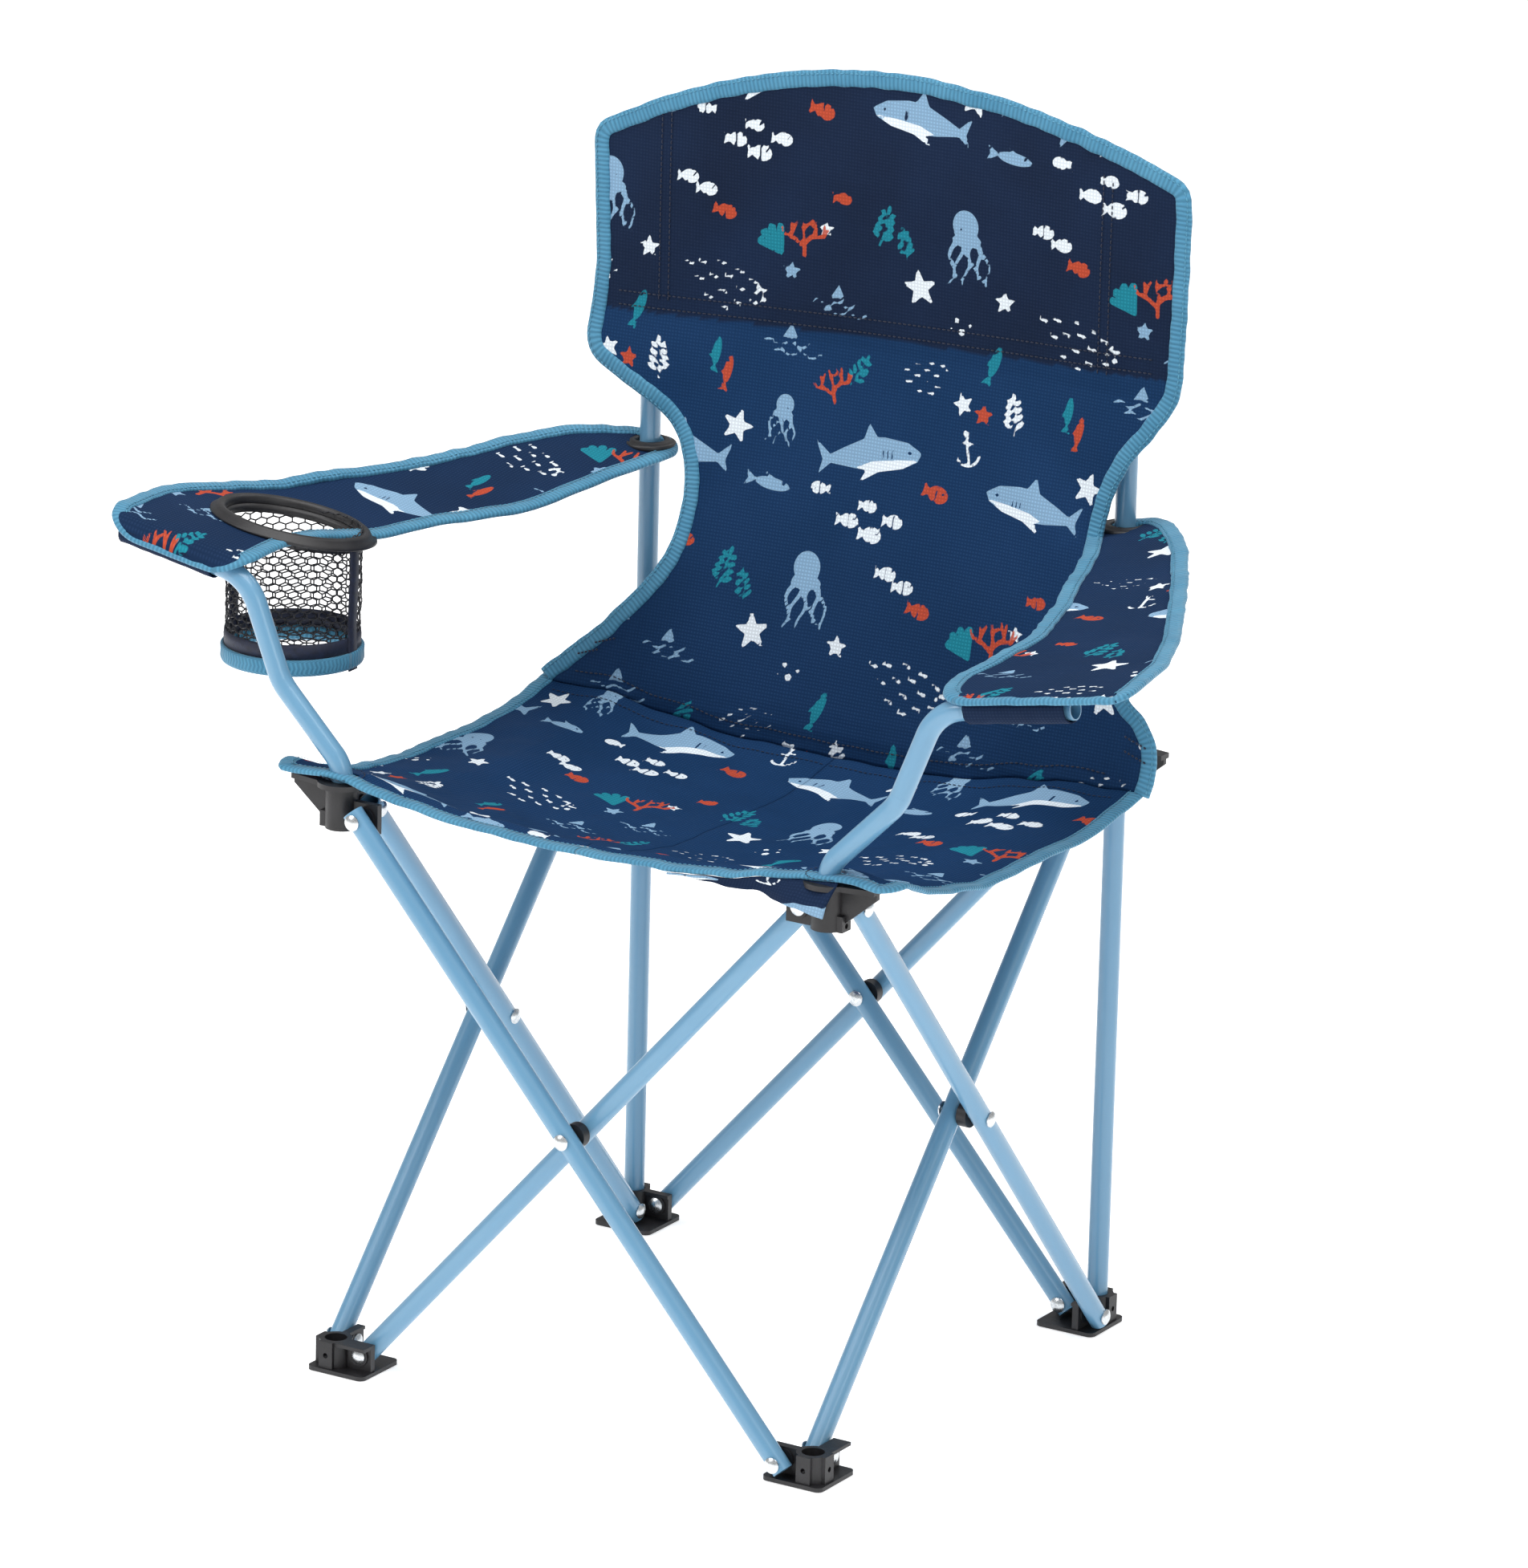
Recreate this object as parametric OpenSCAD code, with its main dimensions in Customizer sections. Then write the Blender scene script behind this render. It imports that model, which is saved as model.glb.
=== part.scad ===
// Folding camp chair: eight scissor tubes on four feet and four hubs, two
// back posts, two bent arm posts, and a sewn seat, back and pair of armrests.
// The origin is on the floor under the middle of the four corners.
// +Z is up, the front of the chair faces -Y, the cup holder is on the -X arm.

/* [Overall] */
// Half the spacing between the corner posts
corner_half = 157; // [148:1:166]
// Height of the hub rivets above the floor
hub_z = 327; // [310:1:345]
// Height of the top of the back at its middle
back_top_z = 700; // [670:1:740]

/* [Tubes] */
// Outside diameter of every tube
tube_d = 12; // [11:0.1:12.4]
// Wall thickness of every tube
tube_wall = 0.8; // [0.6:0.1:1.5]
// How far a scissor tube runs past its end rivets
tube_over = 5.5; // [4.5:0.1:5.5]
// Lowest and highest ends of the back posts
post_top_z = 658; // [640:1:664]

/* [Rivets] */
// Distance from a corner post to the rivets beside it
rivet_in = 17; // [16:0.5:19]
// Shank diameter
pivot_d = 4; // [3:0.1:5]
// Head diameter
head_d = 9; // [7:0.1:9]
// Head height
head_h = 2.2; // [1.5:0.1:2.4]
// Height of the straight rim under the dome
head_rim = 0.6; // [0.4:0.1:1]
// Radial running clearance of a shank in its hole
run_gap = 0.05; // [0.02:0.01:0.1]

/* [Ears] */
// Thickness of the ear's slab
slab_t = 4; // [3:0.1:5]
// Thickness of the ear across its boss
boss_t = 6; // [5:0.1:7]
// Diameter of the boss
boss_d = 12; // [10:0.1:13]
// Reach of an ear from the corner axis
ear_len = 25; // [24:0.1:26]
// Clearance between parts that turn or slide past each other
gap = 0.3; // [0.2:0.05:0.5]

/* [Feet] */
// Height of the foot rivets above the floor
foot_z = 11; // [10.6:0.1:11.4]
// Overall height of a foot
foot_h = 18; // [17.6:0.1:20]
// Thickness of the base plate
plate_t = 2.4; // [2:0.1:2.6]
// Reach of the plate outwards from the corner axis
plate_out = 12; // [11:0.1:14]
// Reach of the plate inwards from the corner axis
plate_in = 26; // [25:0.1:27]
// Corner radius of the plate
plate_r = 4; // [2:0.1:6]
// Width of the lip over an ear
lip_w = 9; // [7:0.1:10]
// Thickness of the lip over an ear
lip_t = 2; // [1.5:0.1:2.2]
// Width of the low ridge on the other ear
ridge_w = 3; // [2.5:0.1:4]

/* [Sockets and hubs] */
// Wall around a socket or sleeve
socket_wall = 3; // [2.5:0.1:3.4]
// Clearance between a post and its foot socket
socket_gap = 0.4; // [0.2:0.05:0.5]
// Width of the flat pads for the cross pins
pad_w = 9; // [8:0.1:12]
// How far the pads stand out from the socket wall
pad_out = 1.2; // [0.8:0.1:1.8]
// Diameter of the cross pins
pin_d = 3; // [2.5:0.1:3.4]
// Height of the sleeve's lower end below the hub rivets
sleeve_low = 9; // [8:0.5:10]
// Height of the hub plate's top above the hub rivets
sleeve_high = 18; // [17:0.5:20]
// Thickness of the hub plate
hub_plate_t = 3; // [2:0.1:4]
// Radius of the hub plate around the sleeve
hub_plate_r = 14; // [12:0.5:15]
// Reach of the hub wing from the corner axis
wing_len = 31; // [26:0.5:34]
// Width of the wing at its root
wing_root = 20; // [16:0.5:24]
// Width of the wing at its tip
wing_tip = 9; // [6:0.5:12]
// Thickness of the web under the wing
web_t = 3; // [2:0.1:4]

/* [Arm posts] */
// First bend's radius and angle
base_bend_r = 20; // [18:0.5:24]
base_bend_a = 45; // [40:1:50]
// Straight run after the first bend
lean_len = 44; // [40:0.5:48]
// Second bend's radius and the lean left after it
knee_r = 30; // [26:0.5:34]
knee_lean = 22; // [18:1:26]
// Straight run after the second bend
rise_len = 38; // [34:0.5:42]
// Lean of the run under the armrest
rest_lean = 80; // [78:1:82]
// Length of the run under the armrest
rest_len = 68; // [60:0.5:70]
// How much thicker the wall is at a bend, on each side
bend_swell = 0.05; // [0.03:0.01:0.1]

/* [Fabric] */
// Thickness of a fabric panel, drawn as a plain slab
cloth_t = 2.4; // [2:0.1:3]
// Width of the binding tape that shows on each face
tape_w = 10; // [8:0.5:12]
// Thickness of tape on each face
tape_t = 1; // [0.8:0.1:1.2]
// Play left between a panel's edge and its tape
tape_play = 0.1; // [0.05:0.05:0.2]
// Depth of the tape outside the panel's edge
tape_edge = 2; // [1.5:0.1:3]
// Depth the seat sags between its front and rear hubs
seat_sag = 25; // [15:1:32]
// Reach of the seat outside the corner axes, to the side
seat_side = 43; // [38:0.5:46]
// Reach of the seat outside the corner axes, to the front and rear
seat_end = 8; // [6:0.5:10]
// Radius of the holes that the posts pass through
post_hole_r = 10; // [8:0.5:11]
// Half width of the back at its top corners
back_half = 189; // [180:0.5:194]
// Height of the back's top corners
back_corner_z = 660; // [640:0.5:666]
// Height of the lower end of the post pockets
pocket_z = 550; // [530:1:570]
// Half width of the back at its waist
waist_half = 128; // [118:0.5:138]
// Height of the waist
waist_z = 445; // [430:1:455]
// Distance from the rear corner axes forward to the seam of seat and back
seam_in = 47; // [40:1:52]
// Thickness of the pocket cloth round a back post
pocket_t = 2; // [1.5:0.1:2.4]

/* [Armrests] */
// Width of an armrest at its front
arm_front_w = 98; // [85:1:105]
// Distance from the corner axis out to an armrest's inner front corner
arm_inner = 65; // [55:1:70]
// Slope of the armrest from front to rear, in degrees
arm_pitch = 4.3; // [3:0.1:5]
// Outside diameter of the grommets
eyelet_d = 30; // [26:0.5:34]
// Hole diameter of the grommets
eyelet_hole_d = 14; // [13.5:0.1:18]
// Thickness of the grommets
eyelet_t = 5; // [4:0.1:6]

/* [Cup holder] */
// Outside diameter of the rim
rim_d = 94; // [88:0.5:98]
// Inside diameter of the rim
rim_hole_d = 76; // [70:0.5:78]
// Height of the rim
rim_h = 6; // [4:0.1:7]
// Distance from the corner axis out to the cup's centre
cup_out = 83; // [80:0.5:86]
// Distance from the front corner axes back to the cup's centre
cup_back = 72; // [66:0.5:78]
// Depth of the mesh basket
basket_depth = 80; // [60:1:90]
// Thickness of the basket, drawn as a plain wall
basket_t = 1.5; // [1.2:0.1:2]
// Height of the bound ring at the basket's foot
hem_h = 9; // [7:0.5:12]
// Thickness of the bound ring
hem_t = 1.8; // [1.4:0.1:2.4]

/* [Hidden] */
$fn = 48;
cut = 1;
join = 0.04;
big = 400;
tube_r = tube_d / 2;
pivot_half = corner_half - rivet_in;
span = 2 * pivot_half;
rise = hub_z - foot_z;
mid_z = (hub_z + foot_z) / 2;
tube_len = sqrt(span * span + rise * rise);
tube_angle = atan2(span, rise);
tube_out = boss_t / 2 + gap + tube_r;
hole_d = pivot_d + 2 * run_gap;
ear_side = boss_t / 2 + run_gap;
tube_side = tube_out + tube_r + run_gap;
dome_h = head_h - head_rim;
dome_r = (dome_h * dome_h + head_d * head_d / 4) / (2 * dome_h);
spacer_t = 2 * tube_out - tube_d - 2 * gap;
spacer_d = 1.2 * tube_d;
socket_r = tube_r + socket_gap;
sleeve_r = tube_r + gap;
socket_out_r = socket_r + socket_wall;
pin_z = foot_h / 2 + 1;
sleeve_lo_z = hub_z - sleeve_low;
hub_top_z = hub_z + sleeve_high;
ear_top_z = hub_z + foot_h - foot_z + boss_t / 2 - slab_t / 2;
seat_z = hub_top_z + gap + tape_t;
seat_half = corner_half + seat_side;
seat_rear = corner_half + seat_end;
flat_from = corner_half - hub_plate_r - cut;
seam_y = corner_half - seam_in;
panel_y = corner_half - tube_r - gap - tape_t - cloth_t;
rest_x = corner_half + base_bend_r * (1 - cos(base_bend_a)) + lean_len * sin(base_bend_a)
    + knee_r * (cos(knee_lean) - cos(base_bend_a)) + rise_len * sin(knee_lean)
    + knee_r * (cos(knee_lean) - cos(rest_lean));
rest_z = hub_top_z + base_bend_r * sin(base_bend_a) + lean_len * cos(base_bend_a)
    + knee_r * (sin(base_bend_a) - sin(knee_lean)) + rise_len * cos(knee_lean)
    + knee_r * (sin(rest_lean) - sin(knee_lean));
arm_z = rest_z + tube_r / sin(rest_lean) + gap + tape_t;
eyelet_z = arm_z - (rest_x - corner_half) / tan(rest_lean) + 2 * corner_half * tan(arm_pitch)
    + cloth_t / 2;
cup_x = -corner_half - cup_out;
cup_y = -corner_half + cup_back;
rim_z = arm_z + (cup_out + corner_half - rest_x) / tan(rest_lean) + cup_back * tan(arm_pitch)
    + cloth_t;
seat_outline = [
    [0, -seat_rear], [seat_half - 17, -seat_rear], [seat_half - 8, -seat_rear + 8],
    [seat_half - 1, -seat_rear + 25], [seat_half, 0], [seat_half - 1, seat_rear - 25],
    [seat_half - 8, seat_rear - 8], [seat_half - 17, seat_rear], [0, seat_rear],
];
arm_outline_right = [
    [corner_half + arm_inner, -corner_half - 8],
    [corner_half + arm_inner + arm_front_w - 6, -corner_half - 8],
    [corner_half + arm_inner + arm_front_w, -corner_half + 20],
    [corner_half + arm_inner + arm_front_w - 10, -corner_half + 75],
    [corner_half + 62, corner_half - 35], [corner_half + 32, corner_half + 10],
    [corner_half - 6, corner_half + 12], [corner_half - 27, corner_half - 6],
    [corner_half - 6, corner_half - 60], [corner_half + 34, 0],
    [corner_half + 57, -corner_half + 80],
];
arm_outline_left = [
    [corner_half + arm_inner - 17, -corner_half - 6],
    [corner_half + arm_inner + arm_front_w - 25, -corner_half - 12],
    [corner_half + arm_inner + arm_front_w + 4, -corner_half + 20],
    [corner_half + arm_inner + arm_front_w - 2, -corner_half + 90],
    [corner_half + 112, -corner_half + 140], [corner_half + 105, 30],
    [corner_half + 78, corner_half - 40], [corner_half + 36, corner_half + 10],
    [corner_half - 6, corner_half + 12], [corner_half - 27, corner_half - 6],
    [corner_half + 4, corner_half - 75], [corner_half + 16, 16],
    [corner_half + 24, -corner_half + 105], [corner_half + 34, -corner_half + 65],
];

// The direction of a flat vector, one unit long
function unit(v) = v / norm(v);

// A polygon, drawn anticlockwise, with every edge moved inwards by d
function inset(p, d) = let (n = len(p)) [
    for (i = [0 : n - 1])
        let (u = unit(p[i] - p[(i + n - 1) % n]), v = unit(p[(i + 1) % n] - p[i]))
        let (nu = [-u[1], u[0]], nv = [-v[1], v[0]])
        p[i] + d * (nu + nv) / (1 + nu * nv)
];

// Height of the seat's lower face at a distance y from the middle
function seat_face(y) = abs(y) > flat_from ? seat_z
    : seat_z - seat_sag * (1 - pow(y / flat_from, 2));

// Turns a shape of the front face on to face i: front, right, rear, left
module on_face(i) {
    rotate([0, 0, 90 * i])
        children();
}

// Moves a shape drawn round the corner axis to corner i:
// front left, front right, rear right, rear left
module on_corner(i) {
    rotate([0, 0, 90 * i])
        translate([-corner_half, -corner_half, 0])
            children();
}

// A scissor tube along Z with its three rivet holes along Y
module scissor_tube() {
    difference() {
        cylinder(h = tube_len + 2 * tube_over, r = tube_r, center = true);
        cylinder(h = tube_len + 4 * tube_over, r = tube_r - tube_wall, center = true);
        for (k = [-1 : 1])
            translate([0, 0, k * tube_len / 2])
                rotate([90, 0, 0])
                    cylinder(h = 2 * tube_d, d = hole_d, center = true);
    }
}

module outer_tube() {
    translate([0, -corner_half - tube_out, mid_z])
        rotate([0, -tube_angle, 0])
            scissor_tube();
}

module inner_tube() {
    translate([0, -corner_half + tube_out, mid_z])
        rotate([0, tube_angle, 0])
            scissor_tube();
}

// The dished spacer that keeps two crossing tubes apart
module spacer() {
    translate([0, -corner_half, mid_z])
        rotate([90, 0, 0])
            difference() {
                cylinder(h = spacer_t, d = spacer_d, center = true);
                cylinder(h = 2 * spacer_t, d = hole_d, center = true);
            }
}

module rivet_head() {
    intersection() {
        cylinder(h = head_h, d = head_d);
        translate([0, 0, head_h - dome_r])
            sphere(r = dome_r);
    }
}

// A rivet along Y whose shank runs from lo to hi between two domed heads
module rivet(lo, hi) {
    translate([0, lo, 0])
        rotate([-90, 0, 0])
            cylinder(h = hi - lo, d = pivot_d);
    translate([0, hi, 0])
        rotate([-90, 0, 0])
            rivet_head();
    translate([0, lo, 0])
        rotate([90, 0, 0])
            rivet_head();
}

module cross_rivet() {
    translate([0, -corner_half, mid_z])
        rivet(-tube_side, tube_side);
}

// The two rivets of a corner at height z. side is 1 where the tube of the
// front ear lies inside the ear and -1 where it lies outside.
module corner_rivets(z, side) {
    lo = side > 0 ? ear_side : tube_side;
    hi = side > 0 ? tube_side : ear_side;
    translate([rivet_in, 0, z])
        rivet(-lo, hi);
    mirror([1, -1, 0])
        translate([rivet_in, 0, z])
            rivet(-hi, lo);
}

// An ear along +X from the corner axis, between two heights
module ear(lo_z, hi_z, rivet_z) {
    translate([0, -slab_t / 2, lo_z])
        cube([ear_len, slab_t, hi_z - lo_z]);
    translate([rivet_in, 0, rivet_z])
        rotate([90, 0, 0])
            cylinder(h = boss_t, d = boss_d, center = true);
}

// The hole for a rivet through the ear along +X
module ear_hole(rivet_z) {
    translate([rivet_in, 0, rivet_z])
        rotate([90, 0, 0])
            cylinder(h = 2 * boss_t, d = hole_d, center = true);
}

// A pad for a cross pin on the outer side of a socket, with its top at hi_z
module pin_pad(lo_z, hi_z) {
    translate([-pad_w / 2, -socket_out_r - pad_out, lo_z])
        cube([pad_w, socket_out_r + pad_out, hi_z - lo_z]);
}

// The hole for a cross pin, from the pad inwards to the bore
module pin_hole(z) {
    translate([0, 0, z])
        rotate([90, 0, 0])
            cylinder(h = 2 * socket_out_r, d = pin_d + 2 * run_gap);
}

module plate_outline() {
    side = plate_out + plate_in;
    translate([-plate_out + plate_r, -plate_out])
        square([side - 2 * plate_r, side]);
    translate([-plate_out, -plate_out + plate_r])
        square([side, side - 2 * plate_r]);
    for (x = [-plate_out + plate_r, plate_in - plate_r])
        for (y = [-plate_out + plate_r, plate_in - plate_r])
            translate([x, y])
                circle(r = plate_r);
}

module foot() {
    difference() {
        union() {
            linear_extrude(height = plate_t)
                plate_outline();
            cylinder(h = foot_h, r = socket_out_r);
            for (a = [0, -90])
                rotate([0, 0, a])
                    pin_pad(0, foot_h);
            ear(0, foot_h, foot_z);
            translate([0, -lip_w, foot_h - lip_t])
                cube([ear_len, lip_w, lip_t]);
            mirror([1, -1, 0]) {
                ear(0, foot_h, foot_z);
                translate([0, 0, foot_h - lip_t])
                    cube([ear_len, ridge_w, lip_t]);
            }
        }
        translate([0, 0, plate_t])
            cylinder(h = foot_h, r = socket_r);
        for (a = [0, -90])
            rotate([0, 0, a])
                pin_hole(pin_z);
        ear_hole(foot_z);
        mirror([1, -1, 0])
            ear_hole(foot_z);
    }
}

// The wing that holds the seat's corner out, drawn along -X
module wing() {
    translate([0, 0, hub_top_z - hub_plate_t])
        linear_extrude(height = hub_plate_t)
            polygon([
                [0, wing_root / 2], [-wing_len, wing_tip / 2],
                [-wing_len, -wing_tip / 2], [0, -wing_root / 2],
            ]);
    rotate([90, 0, 0])
        linear_extrude(height = web_t, center = true)
            polygon([
                [0, sleeve_lo_z + web_t], [0, hub_top_z - cut],
                [-wing_len, hub_top_z - cut], [-wing_len, hub_top_z - 2 * hub_plate_t],
                [-socket_out_r, sleeve_lo_z + web_t],
            ]);
}

// A hub. turn points its wing to the side of the chair.
module hub(turn) {
    difference() {
        union() {
            translate([0, 0, sleeve_lo_z])
                cylinder(h = hub_top_z - sleeve_lo_z, r = sleeve_r + socket_wall);
            translate([0, 0, hub_top_z - hub_plate_t])
                cylinder(h = hub_plate_t, r = hub_plate_r);
            rotate([0, 0, turn])
                wing();
            rotate([0, 0, turn - 90])
                translate([0, -pad_out, 0])
                    pin_pad(sleeve_lo_z, hub_z);
            ear(sleeve_lo_z, ear_top_z, hub_z);
            mirror([1, -1, 0])
                ear(sleeve_lo_z, ear_top_z, hub_z);
        }
        translate([0, 0, sleeve_lo_z - cut])
            cylinder(h = hub_top_z, r = sleeve_r);
        rotate([0, 0, turn - 90])
            pin_hole(sleeve_lo_z + pin_d);
        ear_hole(hub_z);
        mirror([1, -1, 0])
            ear_hole(hub_z);
    }
}

// The cross pins of a rear foot, pressed through the collar into the post
module foot_pins() {
    for (a = [0, -90])
        rotate([0, 0, a])
            translate([0, -socket_r + tube_wall + socket_gap + cut, pin_z])
                rotate([90, 0, 0])
                    cylinder(h = socket_wall + pad_out + cut, d = pin_d);
}

// The cross pin that holds an arm post in its hub
module hub_pin(turn) {
    rotate([0, 0, turn - 90])
        translate([0, -tube_r + tube_wall + cut, sleeve_lo_z + pin_d])
            rotate([90, 0, 0])
                cylinder(h = socket_wall + pad_out + cut + gap, d = pin_d);
}

module back_post() {
    difference() {
        translate([0, 0, plate_t])
            cylinder(h = post_top_z - plate_t, r = tube_r);
        cylinder(h = post_top_z + cut, r = tube_r - tube_wall);
        for (a = [0, -90])
            rotate([0, 0, a])
                pin_hole(pin_z);
    }
}

// The wall of a tube in section, thicker by swell on both sides
module tube_section(swell) {
    difference() {
        circle(r = tube_r + swell);
        circle(r = tube_r - tube_wall - swell);
    }
}

// A straight run of tube along +Z from the origin, let into the bends at its ends
module run(len) {
    translate([0, 0, -join])
        linear_extrude(height = len + 2 * join)
            tube_section(0);
}

// A bend from +Z towards +X, starting at the origin
module bend(bend_r, a) {
    translate([bend_r, 0, 0])
        rotate([90, 0, 0])
            rotate([0, 0, 180 - a])
                rotate_extrude(angle = a)
                    translate([bend_r, 0])
                        tube_section(bend_swell);
}

// A bend from +Z towards -X, starting at the origin
module bend_back(bend_r, a) {
    translate([-bend_r, 0, 0])
        rotate([90, 0, 0])
            rotate_extrude(angle = a)
                translate([bend_r, 0])
                    tube_section(bend_swell);
}

// Carries a shape to the far end of a bend
module past_bend(bend_r, a) {
    translate([bend_r * (1 - cos(a)), 0, bend_r * sin(a)])
        rotate([0, a, 0])
            children();
}

// The upper part of an arm post, past its knee
module upper_run() {
    run(rise_len);
    translate([0, 0, rise_len]) {
        bend(knee_r, rest_lean - knee_lean);
        past_bend(knee_r, rest_lean - knee_lean)
            run(rest_len);
    }
}

module arm_post() {
    difference() {
        translate([0, 0, sleeve_lo_z])
            run(hub_top_z - sleeve_lo_z);
        rotate([0, 0, 90])
            pin_hole(sleeve_lo_z + pin_d);
    }
    translate([0, 0, hub_top_z]) {
        bend(base_bend_r, base_bend_a);
        past_bend(base_bend_r, base_bend_a) {
            run(lean_len);
            translate([0, 0, lean_len]) {
                bend_back(knee_r, base_bend_a - knee_lean);
                past_bend(-knee_r, knee_lean - base_bend_a)
                    upper_run();
            }
        }
    }
}

// The seat's cloth between two heights over its lower face, right half
module seat_skin(lo, hi, edge) {
    steps = 12;
    y_step = 2 * flat_from / steps;
    face = [for (k = [0 : steps]) [k * y_step - flat_from, seat_face(k * y_step - flat_from)]];
    rim = [[-seat_rear, seat_z]];
    rim_end = [[seat_rear, seat_z]];
    line = concat(rim, face, rim_end);
    low = [for (p = line) [p[0], p[1] + lo]];
    high = [for (k = [len(line) - 1 : -1 : 0]) [line[k][0], line[k][1] + hi]];
    intersection() {
        rotate([90, 0, 90])
            linear_extrude(height = seat_half)
                polygon(concat(low, high));
        linear_extrude(height = big)
            polygon(inset(seat_outline, edge));
        translate([edge > 0 ? gap / 2 : gap, -big, 0])
            cube([big, 2 * big, big]);
    }
}

module post_holes(r) {
    for (y = [-corner_half, corner_half])
        translate([corner_half, y, 0])
            cylinder(h = big, r = r);
}

module seat_half() {
    difference() {
        seat_skin(0, cloth_t, tape_edge);
        post_holes(post_hole_r);
    }
}

module seat_tape_half() {
    difference() {
        seat_skin(-tape_t, cloth_t + tape_t, 0);
        translate([-big + seat_half - tape_w, -seat_rear + tape_w, 0])
            cube([big, 2 * (seat_rear - tape_w), big]);
        seat_skin(-tape_play, cloth_t + tape_play, tape_edge - tape_play);
        post_holes(post_hole_r + tape_w);
    }
}

// The back's outline seen from the front, with its edges moved in by d
module back_shape(d) {
    arch = back_top_z - back_corner_z;
    arch_r = (arch * arch + back_half * back_half) / (2 * arch);
    foot_half = back_half;
    notch_h = (pocket_z - hub_top_z) / 2;
    notch_in = back_half - waist_half;
    notch_r = (notch_in * notch_in + notch_h * notch_h) / (2 * notch_in);
    difference() {
        intersection() {
            translate([-foot_half + d, hub_top_z])
                square([2 * (foot_half - d), back_top_z]);
            translate([0, back_top_z - arch_r])
                circle(r = arch_r - d, $fn = 96);
        }
        for (s = [-1, 1])
            translate([s * (waist_half + notch_r), hub_top_z + notch_h])
                circle(r = notch_r + d, $fn = 96);
    }
}

// The back's cloth between two depths behind its front face
module back_skin(front, rear) {
    translate([-big, 0, 0])
        rotate([90, 0, 90])
            linear_extrude(height = 2 * big)
                polygon([
                    [seam_y + front, hub_top_z - cut], [panel_y + front, pocket_z],
                    [panel_y + front, back_top_z + cut], [panel_y + rear, back_top_z + cut],
                    [panel_y + rear, pocket_z], [seam_y + rear, hub_top_z - cut],
                ]);
}

// The outline of the back as a prism through the chair
module back_prism(d) {
    translate([0, big, 0])
        rotate([90, 0, 0])
            linear_extrude(height = 2 * big)
                back_shape(d);
}

// A cylinder round each back post, from the pockets' lower end upwards
module post_wraps(r, top_z) {
    for (x = [-corner_half, corner_half])
        translate([x, corner_half, pocket_z])
            cylinder(h = top_z - pocket_z, r = r);
}

module arm_prism(outline, d) {
    linear_extrude(height = 2 * big)
        polygon(inset(outline, d));
}

// A sloping slab under the right armrest's top, between two heights
module arm_slab(lo, hi) {
    translate([rest_x, -corner_half, arm_z])
        rotate([arm_pitch, rest_lean - 90, 0])
            translate([-big, -big, lo])
                cube([2 * big, 3 * big, hi - lo]);
}

module arm_openings(eye_r) {
    translate([corner_half, corner_half, 0])
        cylinder(h = 2 * big, r = eye_r);
}

module cup_opening() {
    translate([-cup_x, cup_y, 0])
        cylinder(h = 2 * big, d = rim_d + 2 * gap);
}

// The sleeve under an armrest's front that its post runs in
module arm_pocket() {
    translate([rest_x, -corner_half, rest_z])
        rotate([0, rest_lean, 0])
            translate([0, 0, tube_r])
                difference() {
                    cylinder(h = rest_len - 2 * tube_r, r = tube_r + gap + cloth_t);
                    translate([0, 0, -cut])
                        cylinder(h = rest_len, r = tube_r + gap);
                }
}

module armrest(outline) {
    difference() {
        intersection() {
            arm_slab(0, cloth_t);
            arm_prism(outline, tape_edge);
        }
        arm_openings(eyelet_d / 2 + gap);
    }
    difference() {
        arm_pocket();
        arm_slab(-big, -big + cut);
    }
}

module armrest_tape(outline) {
    difference() {
        intersection() {
            arm_slab(-tape_t, cloth_t + tape_t);
            arm_prism(outline, 0);
        }
        arm_prism(outline, tape_w);
        intersection() {
            arm_slab(-tape_play, cloth_t + tape_play);
            arm_prism(outline, tape_edge - tape_play);
        }
        arm_openings(eyelet_d / 2 + gap);
        arm_clear();
    }
}

// The space that an armrest's tape leaves for the post and its sleeve
module arm_clear() {
    translate([rest_x, -corner_half, rest_z])
        rotate([0, rest_lean, 0])
            cylinder(h = rest_len + cut, r = tube_r + gap + cloth_t + tape_play);
}

module eyelet() {
    translate([corner_half, corner_half, eyelet_z])
        rotate_extrude()
            translate([eyelet_hole_d / 2, -eyelet_t / 2])
                square([(eyelet_d - eyelet_hole_d) / 2, eyelet_t]);
}

module left() {
    mirror([1, 0, 0])
        children();
}

module foot_front_left() color("#1c1c1e") on_corner(0) foot();
module foot_front_right() color("#1c1c1e") on_corner(1) foot();
module foot_rear_right() color("#1c1c1e") on_corner(2) foot();
module foot_rear_left() color("#1c1c1e") on_corner(3) foot();
module hub_front_left() color("#1c1c1e") on_corner(0) hub(0);
module hub_front_right() color("#1c1c1e") on_corner(1) hub(90);
module hub_rear_right() color("#1c1c1e") on_corner(2) hub(0);
module hub_rear_left() color("#1c1c1e") on_corner(3) hub(90);
module front_outer_tube() color("#79afd0") on_face(0) outer_tube();
module right_outer_tube() color("#79afd0") on_face(1) outer_tube();
module rear_outer_tube() color("#79afd0") on_face(2) outer_tube();
module left_outer_tube() color("#79afd0") on_face(3) outer_tube();
module front_inner_tube() color("#79afd0") on_face(0) inner_tube();
module right_inner_tube() color("#79afd0") on_face(1) inner_tube();
module rear_inner_tube() color("#79afd0") on_face(2) inner_tube();
module left_inner_tube() color("#79afd0") on_face(3) inner_tube();
module front_spacer() color("#1c1c1e") on_face(0) spacer();
module right_spacer() color("#1c1c1e") on_face(1) spacer();
module rear_spacer() color("#1c1c1e") on_face(2) spacer();
module left_spacer() color("#1c1c1e") on_face(3) spacer();
module front_cross_rivet() color("#c8c8c8") on_face(0) cross_rivet();
module right_cross_rivet() color("#c8c8c8") on_face(1) cross_rivet();
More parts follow.
